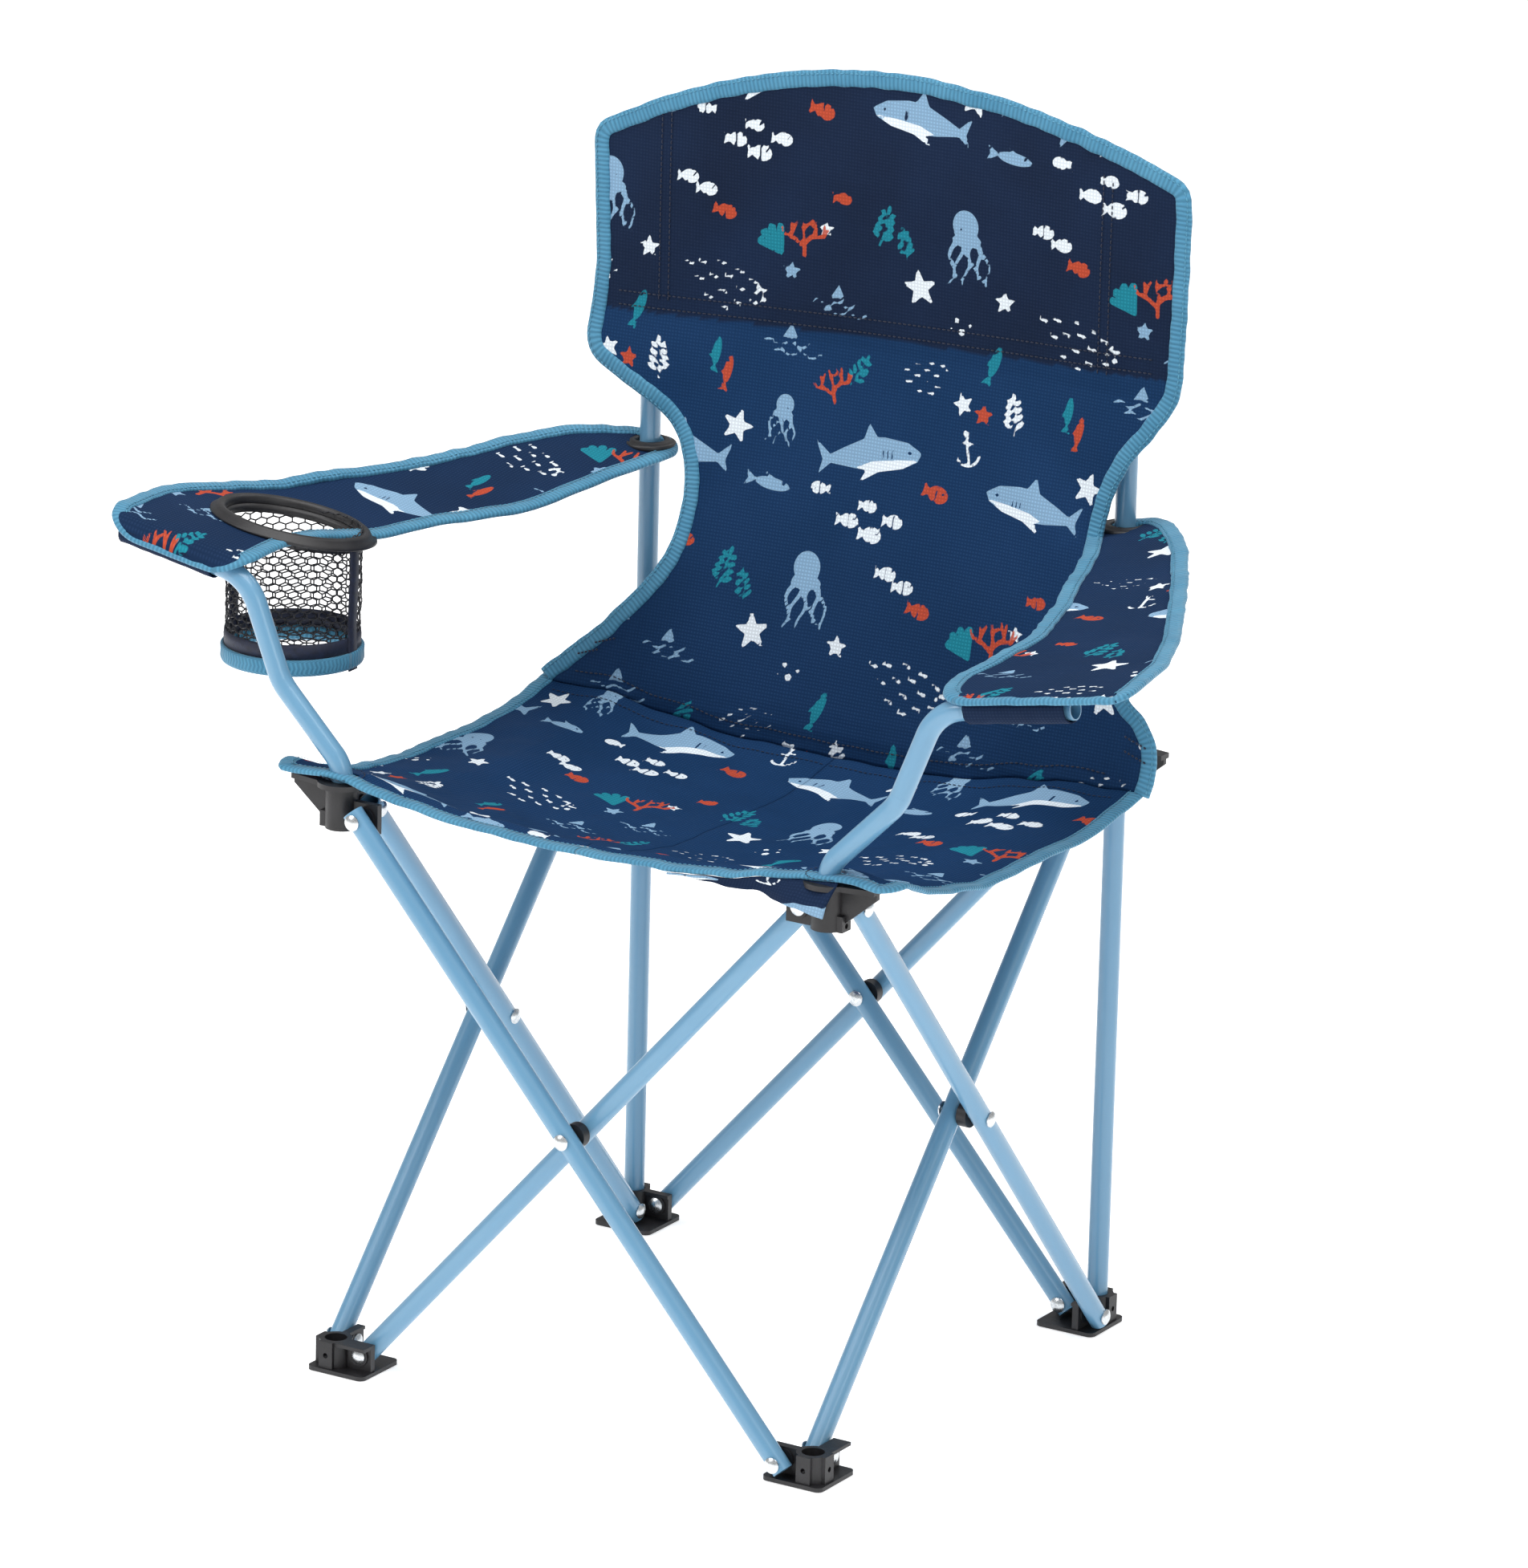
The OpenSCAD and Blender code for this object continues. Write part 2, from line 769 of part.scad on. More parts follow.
module rear_cross_rivet() color("#c8c8c8") on_face(2) cross_rivet();
module left_cross_rivet() color("#c8c8c8") on_face(3) cross_rivet();
module foot_rivets_front_left() color("#c8c8c8") on_corner(0) corner_rivets(foot_z, 1);
module foot_rivets_front_right() color("#c8c8c8") on_corner(1) corner_rivets(foot_z, 1);
module foot_rivets_rear_right() color("#c8c8c8") on_corner(2) corner_rivets(foot_z, 1);
module foot_rivets_rear_left() color("#c8c8c8") on_corner(3) corner_rivets(foot_z, 1);
module hub_rivets_front_left() color("#c8c8c8") on_corner(0) corner_rivets(hub_z, -1);
module hub_rivets_front_right() color("#c8c8c8") on_corner(1) corner_rivets(hub_z, -1);
module hub_rivets_rear_right() color("#c8c8c8") on_corner(2) corner_rivets(hub_z, -1);
module hub_rivets_rear_left() color("#c8c8c8") on_corner(3) corner_rivets(hub_z, -1);
module back_post_left() color("#79afd0") on_corner(3) back_post();
module back_post_right() color("#79afd0") on_corner(2) back_post();
module arm_post_right() color("#79afd0") translate([corner_half, -corner_half, 0]) arm_post();
module arm_post_left() color("#79afd0") left() translate([corner_half, -corner_half, 0]) arm_post();
module back_post_pins_left() color("#1c1c1e") on_corner(3) foot_pins();
module back_post_pins_right() color("#1c1c1e") on_corner(2) foot_pins();
module arm_post_pin_left() color("#1c1c1e") on_corner(0) hub_pin(0);
module arm_post_pin_right() color("#1c1c1e") on_corner(1) hub_pin(90);
module seat_right() color("#1d2f5c") seat_half();
module seat_left() color("#1d2f5c") left() seat_half();
module seat_tape_right() color("#5ba3c2") seat_tape_half();
module seat_tape_left() color("#5ba3c2") left() seat_tape_half();

module back_panel() {
    color("#24457d")
        intersection() {
            back_skin(0, cloth_t);
            back_prism(tape_edge);
        }
}

// The doubled cloth behind the top of the back, with its two post pockets
module back_pocket_band() {
    rear_y = panel_y + cloth_t + tape_t + tape_play;
    color("#1a2648")
        difference() {
            intersection() {
                union() {
                    translate([-big, rear_y, pocket_z + tape_edge])
                        cube([2 * big, pocket_t, big]);
                    post_wraps(tube_r + gap + pocket_t, back_corner_z + pocket_t + cut);
                }
                translate([-big, rear_y, pocket_z + tape_edge])
                    cube([2 * big, big, big]);
                back_prism(tape_edge);
            }
            post_wraps(tube_r + gap, back_corner_z + cut);
        }
}

module back_tape() {
    color("#5ba3c2")
        difference() {
            intersection() {
                back_skin(-tape_t, cloth_t + tape_t);
                back_prism(0);
            }
            back_prism(tape_w);
            intersection() {
                back_skin(-tape_play, cloth_t + tape_play);
                back_prism(tape_edge - tape_play);
            }
            translate([-back_half + tape_w, 0, 0])
                cube([2 * (back_half - tape_w), big, hub_top_z + tape_w]);
        }
}

module armrest_right() color("#1d2f5c") armrest(arm_outline_right);
module armrest_tape_right() color("#5ba3c2") armrest_tape(arm_outline_right);

module armrest_left() {
    color("#1d2f5c")
        left()
            difference() {
                armrest(arm_outline_left);
                cup_opening();
            }
}

module armrest_tape_left() {
    color("#5ba3c2")
        left()
            difference() {
                armrest_tape(arm_outline_left);
                cup_opening();
            }
}

module eyelet_right() color("#1c1c1e") eyelet();
module eyelet_left() color("#1c1c1e") left() eyelet();

module cup_rim() {
    color("#1c1c1e")
        translate([cup_x, cup_y, rim_z])
            rotate_extrude()
                translate([rim_hole_d / 2, 0])
                    square([(rim_d - rim_hole_d) / 2, rim_h]);
}

module cup_basket() {
    color("#2a2a30")
        translate([cup_x, cup_y, rim_z - basket_depth])
            difference() {
                cylinder(h = basket_depth, d = rim_hole_d + 2 * basket_t);
                translate([0, 0, basket_t])
                    cylinder(h = basket_depth, d = rim_hole_d);
            }
}

module cup_basket_hem() {
    color("#5ba3c2")
        translate([cup_x, cup_y, rim_z - basket_depth])
            difference() {
                cylinder(h = hem_h, d = rim_hole_d + 2 * basket_t + 2 * hem_t);
                translate([0, 0, -cut])
                    cylinder(h = hem_h + 2 * cut, d = rim_hole_d + 2 * basket_t);
            }
}

foot_front_left();
foot_front_right();
foot_rear_right();
foot_rear_left();
hub_front_left();
hub_front_right();
hub_rear_right();
hub_rear_left();
front_outer_tube();
right_outer_tube();
rear_outer_tube();
left_outer_tube();
front_inner_tube();
right_inner_tube();
rear_inner_tube();
left_inner_tube();
front_spacer();
right_spacer();
rear_spacer();
left_spacer();
front_cross_rivet();
right_cross_rivet();
rear_cross_rivet();
left_cross_rivet();
foot_rivets_front_left();
foot_rivets_front_right();
foot_rivets_rear_right();
foot_rivets_rear_left();
hub_rivets_front_left();
hub_rivets_front_right();
hub_rivets_rear_right();
hub_rivets_rear_left();
back_post_left();
back_post_right();
arm_post_left();
arm_post_right();
back_post_pins_left();
back_post_pins_right();
arm_post_pin_left();
arm_post_pin_right();
seat_left();
seat_right();
seat_tape_left();
seat_tape_right();
back_panel();
back_pocket_band();
back_tape();
armrest_left();
armrest_right();
armrest_tape_left();
armrest_tape_right();
eyelet_left();
eyelet_right();
cup_rim();
cup_basket();
cup_basket_hem();
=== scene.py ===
"""Folding camp chair: looks and cloth, over the frame that CAD gives."""
import math
import bmesh
import bpy
import numpy as np
from mathutils import Matrix, Vector, noise


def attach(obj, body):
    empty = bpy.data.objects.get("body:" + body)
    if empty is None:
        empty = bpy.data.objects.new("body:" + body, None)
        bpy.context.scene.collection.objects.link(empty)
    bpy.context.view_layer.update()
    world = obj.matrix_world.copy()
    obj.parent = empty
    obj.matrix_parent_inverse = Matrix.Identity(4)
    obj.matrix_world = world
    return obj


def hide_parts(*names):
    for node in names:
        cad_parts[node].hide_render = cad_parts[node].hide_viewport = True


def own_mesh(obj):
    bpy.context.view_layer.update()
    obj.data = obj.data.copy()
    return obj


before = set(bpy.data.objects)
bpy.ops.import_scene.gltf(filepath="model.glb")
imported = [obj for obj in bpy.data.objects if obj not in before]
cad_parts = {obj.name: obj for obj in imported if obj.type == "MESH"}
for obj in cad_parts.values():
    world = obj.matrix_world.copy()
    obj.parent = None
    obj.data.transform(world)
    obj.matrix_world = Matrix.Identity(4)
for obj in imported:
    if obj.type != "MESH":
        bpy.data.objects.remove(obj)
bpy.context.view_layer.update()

bl_info = {
    "name": "Folding camp chair",
    "version": (1, 0, 0),
    "blender": (4, 5, 0),
    "location": "View3D > Sidebar > Camp chair",
    "description": "Builds the sewn parts and finishes of a folding camp chair",
    "category": "Object",
}

MM = 0.001
# Frame sizes that the cloth hangs on, in millimetres
CORNER = 157.0
POCKET_Z = 550.0
SEAM_Y = 110.0
PANEL_Y = 147.6
# The seat: half its width and depth, how far out the hubs hold it, and its height there
SEAT_HALF = 200.0
SEAT_END = 165.0
SEAT_HELD = 146.0
SEAT_Z = 347.6
# The armrests: where the front post's rest meets them, and how they rise outwards and backwards
REST = (237.4, 453.7)
ARM_SLOPE = math.tan(math.radians(10.0))
ARM_RISE = math.tan(math.radians(4.3))
ARM_Z = 461.2
CUP = (-240.0, -85.0)
CUP_RIM_Z = 461.5
BAND_LOW = 556.0
# One wave of a wave texture at scale 1, in metres
WAVE_LENGTH = 0.314


# ---------------------------------------------------------------- finishes

def srgb(code):
    """An sRGB hex colour as linear RGBA."""
    out = []
    for k in (1, 3, 5):
        c = int(code[k:k + 2], 16) / 255
        out.append(c / 12.92 if c <= 0.04045 else ((c + 0.055) / 1.055) ** 2.4)
    return (*out, 1.0)


def put(tree, kind, inputs=None, **settings):
    """One node with its settings, values and links."""
    n = tree.nodes.new(kind)
    for key, value in settings.items():
        setattr(n, key, value)
    for key, value in (inputs or {}).items():
        if isinstance(value, bpy.types.NodeSocket):
            tree.links.new(value, n.inputs[key])
        else:
            n.inputs[key].default_value = value
    return n


def finish_base(name, **sockets):
    """A material with its shader set, and its tree."""
    m = bpy.data.materials.new(name)
    m.use_nodes = True
    bsdf = m.node_tree.nodes["Principled BSDF"]
    for key, value in sockets.items():
        bsdf.inputs[key.replace("_", " ")].default_value = value
    return m, m.node_tree


def connect(m, colour, rough=None, bump=None):
    """Joins a finish's colour, roughness and bump to its shader."""
    shader = m.node_tree.nodes["Principled BSDF"].inputs
    m.node_tree.links.new(colour, shader["Base Color"])
    for node, socket in ((rough, "Roughness"), (bump, "Normal")):
        if node is not None:
            m.node_tree.links.new(node.outputs[0], shader[socket])
    return m


# Noise scales are counted per metre: 900 gives a grain of 1.1 mm, 60 patches of 17 mm.

def noise_mix(tree, vector, scale, low, high, share, detail=3.0):
    """A colour that drifts between two shades over a noise of that scale."""
    n = put(tree, "ShaderNodeTexNoise", {"Vector": vector, "Scale": scale, "Detail": detail})
    r = put(tree, "ShaderNodeMapRange",
            {"Value": n.outputs["Fac"], "From Min": 0.5 - share, "From Max": 0.5 + share})
    return put(tree, "ShaderNodeMix", {"Factor": r.outputs[0], 6: low, 7: high}, data_type="RGBA").outputs[2]


def powder_coated_steel():
    """Steel tube under baked powder: an even satin colour with a faint orange peel."""
    m, t = finish_base("powder_coated_steel_tube", Roughness=0.34, IOR=1.5,
                       Coat_Weight=0.7, Coat_Roughness=0.18)
    co = put(t, "ShaderNodeTexCoord").outputs["Object"]
    colour = noise_mix(t, co, 9.0, srgb(look("tube_colour")), srgb("#6999b8"), 0.35)
    fine = put(t, "ShaderNodeTexNoise", {"Vector": co, "Scale": 900.0, "Detail": 2.0})
    spots = put(t, "ShaderNodeTexNoise", {"Vector": co, "Scale": 240.0, "Detail": 4.0, "Roughness": 0.7})
    worn = put(t, "ShaderNodeMapRange", {"Value": spots.outputs["Fac"], "From Min": 0.74, "From Max": 0.78})
    mix = put(t, "ShaderNodeMix", {"Factor": worn.outputs[0], 6: colour, 7: srgb("#b9d2e0")},
              data_type="RGBA").outputs[2]
    rough = put(t, "ShaderNodeMapRange", {"Value": fine.outputs["Fac"], "To Min": 0.27, "To Max": 0.42})
    bump = put(t, "ShaderNodeBump", {"Strength": 0.12, "Distance": 0.0004, "Height": fine.outputs["Fac"]})
    return connect(m, mix, rough, bump)


def moulded_nylon():
    """Black injection-moulded nylon: spark-eroded grain and paler rubbed spots."""
    m, t = finish_base("moulded_nylon_grained", Roughness=0.42, IOR=1.53)
    co = put(t, "ShaderNodeTexCoord").outputs["Object"]
    grain = put(t, "ShaderNodeTexNoise", {"Vector": co, "Scale": 1400.0, "Detail": 3.0})
    colour = noise_mix(t, co, 60.0, srgb("#121113"), srgb("#232225"), 0.25)
    rough = put(t, "ShaderNodeMapRange", {"Value": grain.outputs["Fac"], "To Min": 0.34, "To Max": 0.58})
    bump = put(t, "ShaderNodeBump", {"Strength": 0.25, "Distance": 0.0003, "Height": grain.outputs["Fac"]})
    return connect(m, colour, rough, bump)


def zinc_plated_steel():
    """Bright zinc on pressed steel: a soft mirror with fine scuffs."""
    m, t = finish_base("zinc_plated_rivet_steel", Metallic=1.0, Roughness=0.25)
    co = put(t, "ShaderNodeTexCoord").outputs["Object"]
    colour = noise_mix(t, co, 500.0, srgb("#c9cdd0"), srgb("#eceff0"), 0.3)
    scuff = put(t, "ShaderNodeTexNoise", {"Vector": co, "Scale": 1600.0, "Detail": 4.0})
    rough = put(t, "ShaderNodeMapRange", {"Value": scuff.outputs["Fac"], "To Min": 0.16, "To Max": 0.42})
    bump = put(t, "ShaderNodeBump", {"Strength": 0.1, "Distance": 0.0002, "Height": scuff.outputs["Fac"]})
    return connect(m, colour, rough, bump)


def weave(tree, uv, pitch):
    """Plain weave from two crossing waves over the cloth's own map, pitch in metres."""
    waves = []
    for axis in ("X", "Y"):
        w = put(tree, "ShaderNodeTexWave",
                {"Vector": uv, "Scale": WAVE_LENGTH / pitch, "Distortion": 0.6, "Detail": 1.0},
                wave_type="BANDS", bands_direction=axis)
        waves.append(w.outputs["Fac"])
    return put(tree, "ShaderNodeMath", {0: waves[0], 1: waves[1]}, operation="MULTIPLY").outputs[0]


def printed_polyester():
    """Woven polyester with a transfer print: ink sits in the threads, so the weave shows through."""
    m, t = finish_base("printed_polyester_weave", Roughness=0.8, Specular_IOR_Level=0.12)
    uv = put(t, "ShaderNodeUVMap", uv_map="cloth").outputs[0]
    # Threads are 0.4 mm apart in the real cloth and drawn 2 mm apart, so that they show.
    cloth = weave(t, uv, 0.002)
    ink = put(t, "ShaderNodeAttribute", attribute_name="print")
    split = put(t, "ShaderNodeSeparateColor", {"Color": ink.outputs["Color"]})
    # The shade attribute picks the ground between navy and blue; on the back it also carries painted shade,
    # darker towards the seat.
    shade = put(t, "ShaderNodeAttribute", attribute_name="shade")
    colour = put(t, "ShaderNodeMix",
                 {"Factor": shade.outputs["Fac"], 6: srgb(look("navy")), 7: srgb(look("blue"))},
                 data_type="RGBA").outputs[2]
    co = put(t, "ShaderNodeTexCoord").outputs["Object"]
    drift = put(t, "ShaderNodeTexNoise", {"Vector": co, "Scale": 14.0, "Detail": 3.0})
    lift = put(t, "ShaderNodeMapRange", {"Value": drift.outputs["Fac"], "From Min": 0.3, "From Max": 0.7,
                                         "To Min": 0.0, "To Max": 0.05})
    colour = put(t, "ShaderNodeMix", {"Factor": lift.outputs[0], 6: colour, 7: srgb("#3a62a0")},
                 data_type="RGBA").outputs[2]
    for source, code in ((split.outputs[1], "#86a9c6"), (split.outputs[0], "#e4ecf2"),
                         (split.outputs[2], "#1d8092"), (ink.outputs["Alpha"], "#b84a30")):
        edge = put(t, "ShaderNodeMapRange",
                   {"Value": source, "From Min": 0.485, "From Max": 0.515, "To Max": 0.93})
        colour = put(t, "ShaderNodeMix", {"Factor": edge.outputs[0], 6: colour, 7: srgb(code)},
                     data_type="RGBA").outputs[2]
    dark = put(t, "ShaderNodeMapRange", {"Value": cloth, "To Min": 0.9, "To Max": 1.22})
    colour = put(t, "ShaderNodeVectorMath", {0: colour, "Scale": dark.outputs[0]},
                 operation="SCALE").outputs[0]
    bump = put(t, "ShaderNodeBump", {"Strength": 0.35, "Distance": 0.0004, "Height": cloth})
    rough = put(t, "ShaderNodeMapRange", {"Value": cloth, "To Min": 0.82, "To Max": 0.62})
    return connect(m, colour, rough, bump)


def binding_tape():
    """Ribbed polyester binding: cords across the tape catch the light in fine lines."""
    m, t = finish_base("ribbed_binding_tape", Roughness=0.66, IOR=1.46, Sheen_Weight=0.2,
                       Sheen_Roughness=0.4)
    uv = put(t, "ShaderNodeUVMap", uv_map="cloth").outputs[0]
    # Ribs are 0.7 mm apart in the real tape and drawn 2.6 mm apart, so that they show.
    rib = put(t, "ShaderNodeTexWave",
              {"Vector": uv, "Scale": WAVE_LENGTH / 0.0026, "Distortion": 0.8, "Detail": 1.0},
              wave_type="BANDS", bands_direction="X").outputs["Fac"]
    co = put(t, "ShaderNodeTexCoord").outputs["Object"]
    colour = noise_mix(t, co, 45.0, srgb(look("tape_colour")), srgb("#5092b2"), 0.3)
    dark = put(t, "ShaderNodeMapRange", {"Value": rib, "To Min": 0.74, "To Max": 1.06})
    colour = put(t, "ShaderNodeVectorMath", {0: colour, "Scale": dark.outputs[0]},
                 operation="SCALE").outputs[0]
    rough = put(t, "ShaderNodeMapRange", {"Value": rib, "To Min": 0.8, "To Max": 0.55})
    bump = put(t, "ShaderNodeBump", {"Strength": 0.5, "Distance": 0.0005, "Height": rib})
    return connect(m, colour, rough, bump)


def twisted_thread(name, low, high, roughness):
    """Spun polyester thread or net cord: a soft twist that breaks up the gloss."""
    m, t = finish_base(name, Roughness=roughness, IOR=1.46, Sheen_Weight=0.1)
    co = put(t, "ShaderNodeTexCoord").outputs["Object"]
    twist = put(t, "ShaderNodeTexNoise", {"Vector": co, "Scale": 1300.0, "Detail": 2.0})
    colour = noise_mix(t, co, 320.0, srgb(low), srgb(high), 0.25)
    rough = put(t, "ShaderNodeMapRange",
                {"Value": twist.outputs["Fac"], "To Min": roughness - 0.12, "To Max": roughness + 0.1})
    bump = put(t, "ShaderNodeBump", {"Strength": 0.4, "Distance": 0.0003, "Height": twist.outputs["Fac"]})
    return connect(m, colour, rough, bump)


def pale_floor():
    """A matt painted board, very slightly mottled."""
    m, t = finish_base("painted_board_pale", Roughness=0.9, Emission_Color=(1, 1, 1, 1),
                       Emission_Strength=0.6)
    co = put(t, "ShaderNodeTexCoord").outputs["Object"]
    return connect(m, noise_mix(t, co, 3.0, srgb("#f0f0f0"), srgb("#f4f4f4"), 0.3))


FINISHES = {}


def finish(kind):
    """The finish of that kind, made once."""
    if kind not in FINISHES:
        makers = {
            "tube": powder_coated_steel, "nylon": moulded_nylon, "zinc": zinc_plated_steel,
            "print": printed_polyester, "tape": binding_tape, "floor": pale_floor,
            "thread": lambda: twisted_thread("navy_sewing_thread", "#0c1226", "#1a2440", 0.6),
            "pale_thread": lambda: twisted_thread("blue_sewing_thread", "#3f86a6", "#5fa3c0", 0.6),
            "net": lambda: twisted_thread("black_net_cord", "#0d0e14", "#22242e", 0.5),
        }
        FINISHES[kind] = makers[kind]()
    return FINISHES[kind]


# ------------------------------------------------------------------ print

def seg(p, a, b, ra, rb=None):
    """Distance to a rod from a to b whose radius runs from ra to rb."""
    rb = ra if rb is None else rb
    a, b = np.array(a, float), np.array(b, float)
    d = b - a
    h = np.clip(((p - a) @ d) / max(d @ d, 1e-9), 0, 1)
    return np.linalg.norm(p - a - h[:, None] * d, axis=1) - (ra + (rb - ra) * h)


def oval(p, c, rx, ry, turn=0.0):
    """Near distance to an ellipse."""
    q = p - np.array(c, float)
    s, k = math.sin(math.radians(turn)), math.cos(math.radians(turn))
    q = np.stack([q[:, 0] * k + q[:, 1] * s, -q[:, 0] * s + q[:, 1] * k], 1)
    return (np.linalg.norm(q / np.array([rx, ry]), axis=1) - 1) * min(rx, ry)


def patch(p, points):
    """Signed distance to a polygon."""
    pts = np.array(points, float)
    best = np.full(len(p), 1e9)
    inside = np.zeros(len(p), bool)
    for a, b in zip(pts, np.roll(pts, -1, 0)):
        d = b - a
        h = np.clip(((p - a) @ d) / max(d @ d, 1e-9), 0, 1)
        best = np.minimum(best, np.linalg.norm(p - a - h[:, None] * d, axis=1))
        cross = (a[1] > p[:, 1]) != (b[1] > p[:, 1])
        with np.errstate(divide="ignore", invalid="ignore"):
            x = a[0] + (p[:, 1] - a[1]) / (b[1] - a[1] if b[1] != a[1] else 1e-9) * (b[0] - a[0])
        inside ^= cross & (p[:, 0] < x)
    return np.where(inside, -best, best)


def line(points, ra, rb=None):
    """Rods along a bent line that thins from ra to rb."""
    n = len(points) - 1
    rb = ra if rb is None else rb
    return [("seg", points[k], points[k + 1], ra + (rb - ra) * k / n, ra + (rb - ra) * (k + 1) / n)
            for k in range(n)]


# Motifs: each shape has an ink (0 white, 1 pale blue, 2 teal, 3 red) or cuts the shapes before it (-1).


def long_fish():
    body = [(33, 3), (24, 9), (9, 12), (4, 12), (-1, 20), (-5, 11), (-18, 6), (-27, 2), (-36, 11),
            (-32, -1), (-35, -9), (-27, -3), (-12, -6), (-4, -7), (-9, -14), (4, -8), (20, -6), (30, -2)]
    belly = [(32, -1), (20, -6), (4, -8), (-9, -14), (-4, -7), (-12, -6), (0, -2), (16, -1)]
    gills = [(-1, s) for k in (8, 11, 14) for s in line([(k, 5), (k - 1, -1)], 0.5)]
    return [(1, ("patch", body)), (0, ("patch", belly)), (-1, ("oval", (25, 3), 1.3, 1.3))] + gills


def round_fish(col=0):
    return [(col, ("oval", (0, 0), 5.5, 4.2)), (col, ("patch", [(-4, 0), (-9, 4.5), (-8, 0), (-9, -4.5)])),
            (-1, ("oval", (2.6, 1), 0.8, 0.8)), (-1, ("seg", (-1, 3.6), (-1, -3.6), 0.45, 0.45))]


def shoal(col=0):
    spots = [(0, 0), (9, 4), (8, -6), (18, 0), (19, -9), (-9, 5), (-8, -5), (28, -4), (2, 10), (14, 10),
             (24, 8), (1, -13), (12, -15), (-17, 1), (30, 5)]
    heads = [(col, ("seg", (x + 1.8, y), (x - 2.4, y), 1.3, 0.4)) for x, y in spots]
    return heads + [(col, ("seg", (x - 2.6, y + 1.1), (x - 2.6, y - 1.1), 0.5, 0.5)) for x, y in spots]


def star(col=0, r=9.0):
    out = []
    for k in range(5):
        a = math.radians(90 + 72 * k)
        out.append((col, ("seg", (0, 0), (r * math.cos(a), r * math.sin(a)), r * 0.42, r * 0.1)))
    return out


def coral(col=3):
    twigs = [[(0, -12), (0, 0), (-2, 10)], [(0, -4), (7, 2), (8, 11)], [(0, -7), (-8, -1), (-9, 7)],
             [(4, 0), (12, 1), (16, 6)], [(-5, -3), (-13, 0), (-15, 4)], [(7, 4), (4, 11)],
             [(-8, 2), (-5, 8)], [(-1, 5), (4, 8)], [(12, 1), (13, 8)]]
    return [(col, s) for t in twigs for s in line(t, 1.3, 0.7)]


def weed(col=2):
    out = [(col, s) for s in line([(0, -13), (1, -3), (0, 13)], 0.8, 0.5)]
    for k, y in enumerate((-8, -3, 2, 7)):
        for s in (-1, 1):
            out.append((col, ("oval", (s * (4.8 - k * 0.5), y + 3), 4.0 - k * 0.4, 1.7, s * 38)))
    out.append((col, ("oval", (0, 13.5), 1.6, 3.2)))
    return out


def fan_leaf(col=2):
    return [(col, ("seg", (0, -8), (11 * math.sin(a), 10 * math.cos(a) - 1), 0.9, 2.4))
            for a in (-1.0, -0.45, 0.1, 0.65)]


def wavelet(col=1):
    out = []
    for row, x0 in ((0, -16), (-5, -9)):
        pts = [(x0 + 2.6 * k, row + 1.6 * math.sin(k * 1.25)) for k in range(12)]
        out += [(col, s) for s in line(pts, 0.65)]
    return out + [(col, ("patch", [(-5, 3), (1, 12), (5, 3), (0, 4)]))]


def anchor(col=0):
    arc = [(9 * math.sin(a), -2 - 9 * math.cos(a) * 0.9) for a in np.linspace(-1.3, 1.3, 9)]
    out = [(col, s) for s in line([(0, 9), (0, -9)], 1.0) + line([(-5, 5), (5, 5)], 0.9) + line(arc, 1.0)]
    return out + [(col, ("oval", (0, 11.5), 2.6, 2.6)), (-1, ("oval", (0, 11.5), 1.2, 1.2))]


def jelly(col=1):
    out = [(col, ("oval", (0, 9), 8, 9)), (col, ("oval", (0, 1), 9, 4))]
    for k, (x, s) in enumerate(((-9, -1), (-5, 1), (-1, -1), (3, 1), (7, -1), (10, 1))):
        pts = [(x * 0.8 + x * 0.09 * j + 2.6 * s * math.sin(j * 0.9 + k), -1 - 3.4 * j)
               for j in range(8 - k % 2)]
        out += [(col, q) for q in line(pts, 1.3, 0.5)]
    return out + [(-1, ("oval", (-2.8, 7), 0.9, 0.9)), (-1, ("oval", (2.8, 7), 0.9, 0.9))]


def bubbles(col=0):
    spots = (((0, 0), 2.0), ((5, 4), 1.2), ((-3, 6), 1.5), ((3, 9), 0.9), ((-6, 1), 0.8))
    return [(col, ("oval", c, r, r)) for c, r in spots]


def sprat(col=1):
    return [(col, ("oval", (2, 0), 10, 3.1)), (col, ("patch", [(-7, 0), (-14, 4.5), (-12, 0), (-14, -4.5)])),
            (col, ("patch", [(0, 2), (-4, 6), (5, 2)])), (-1, ("oval", (8, 0.8), 0.8, 0.8))]


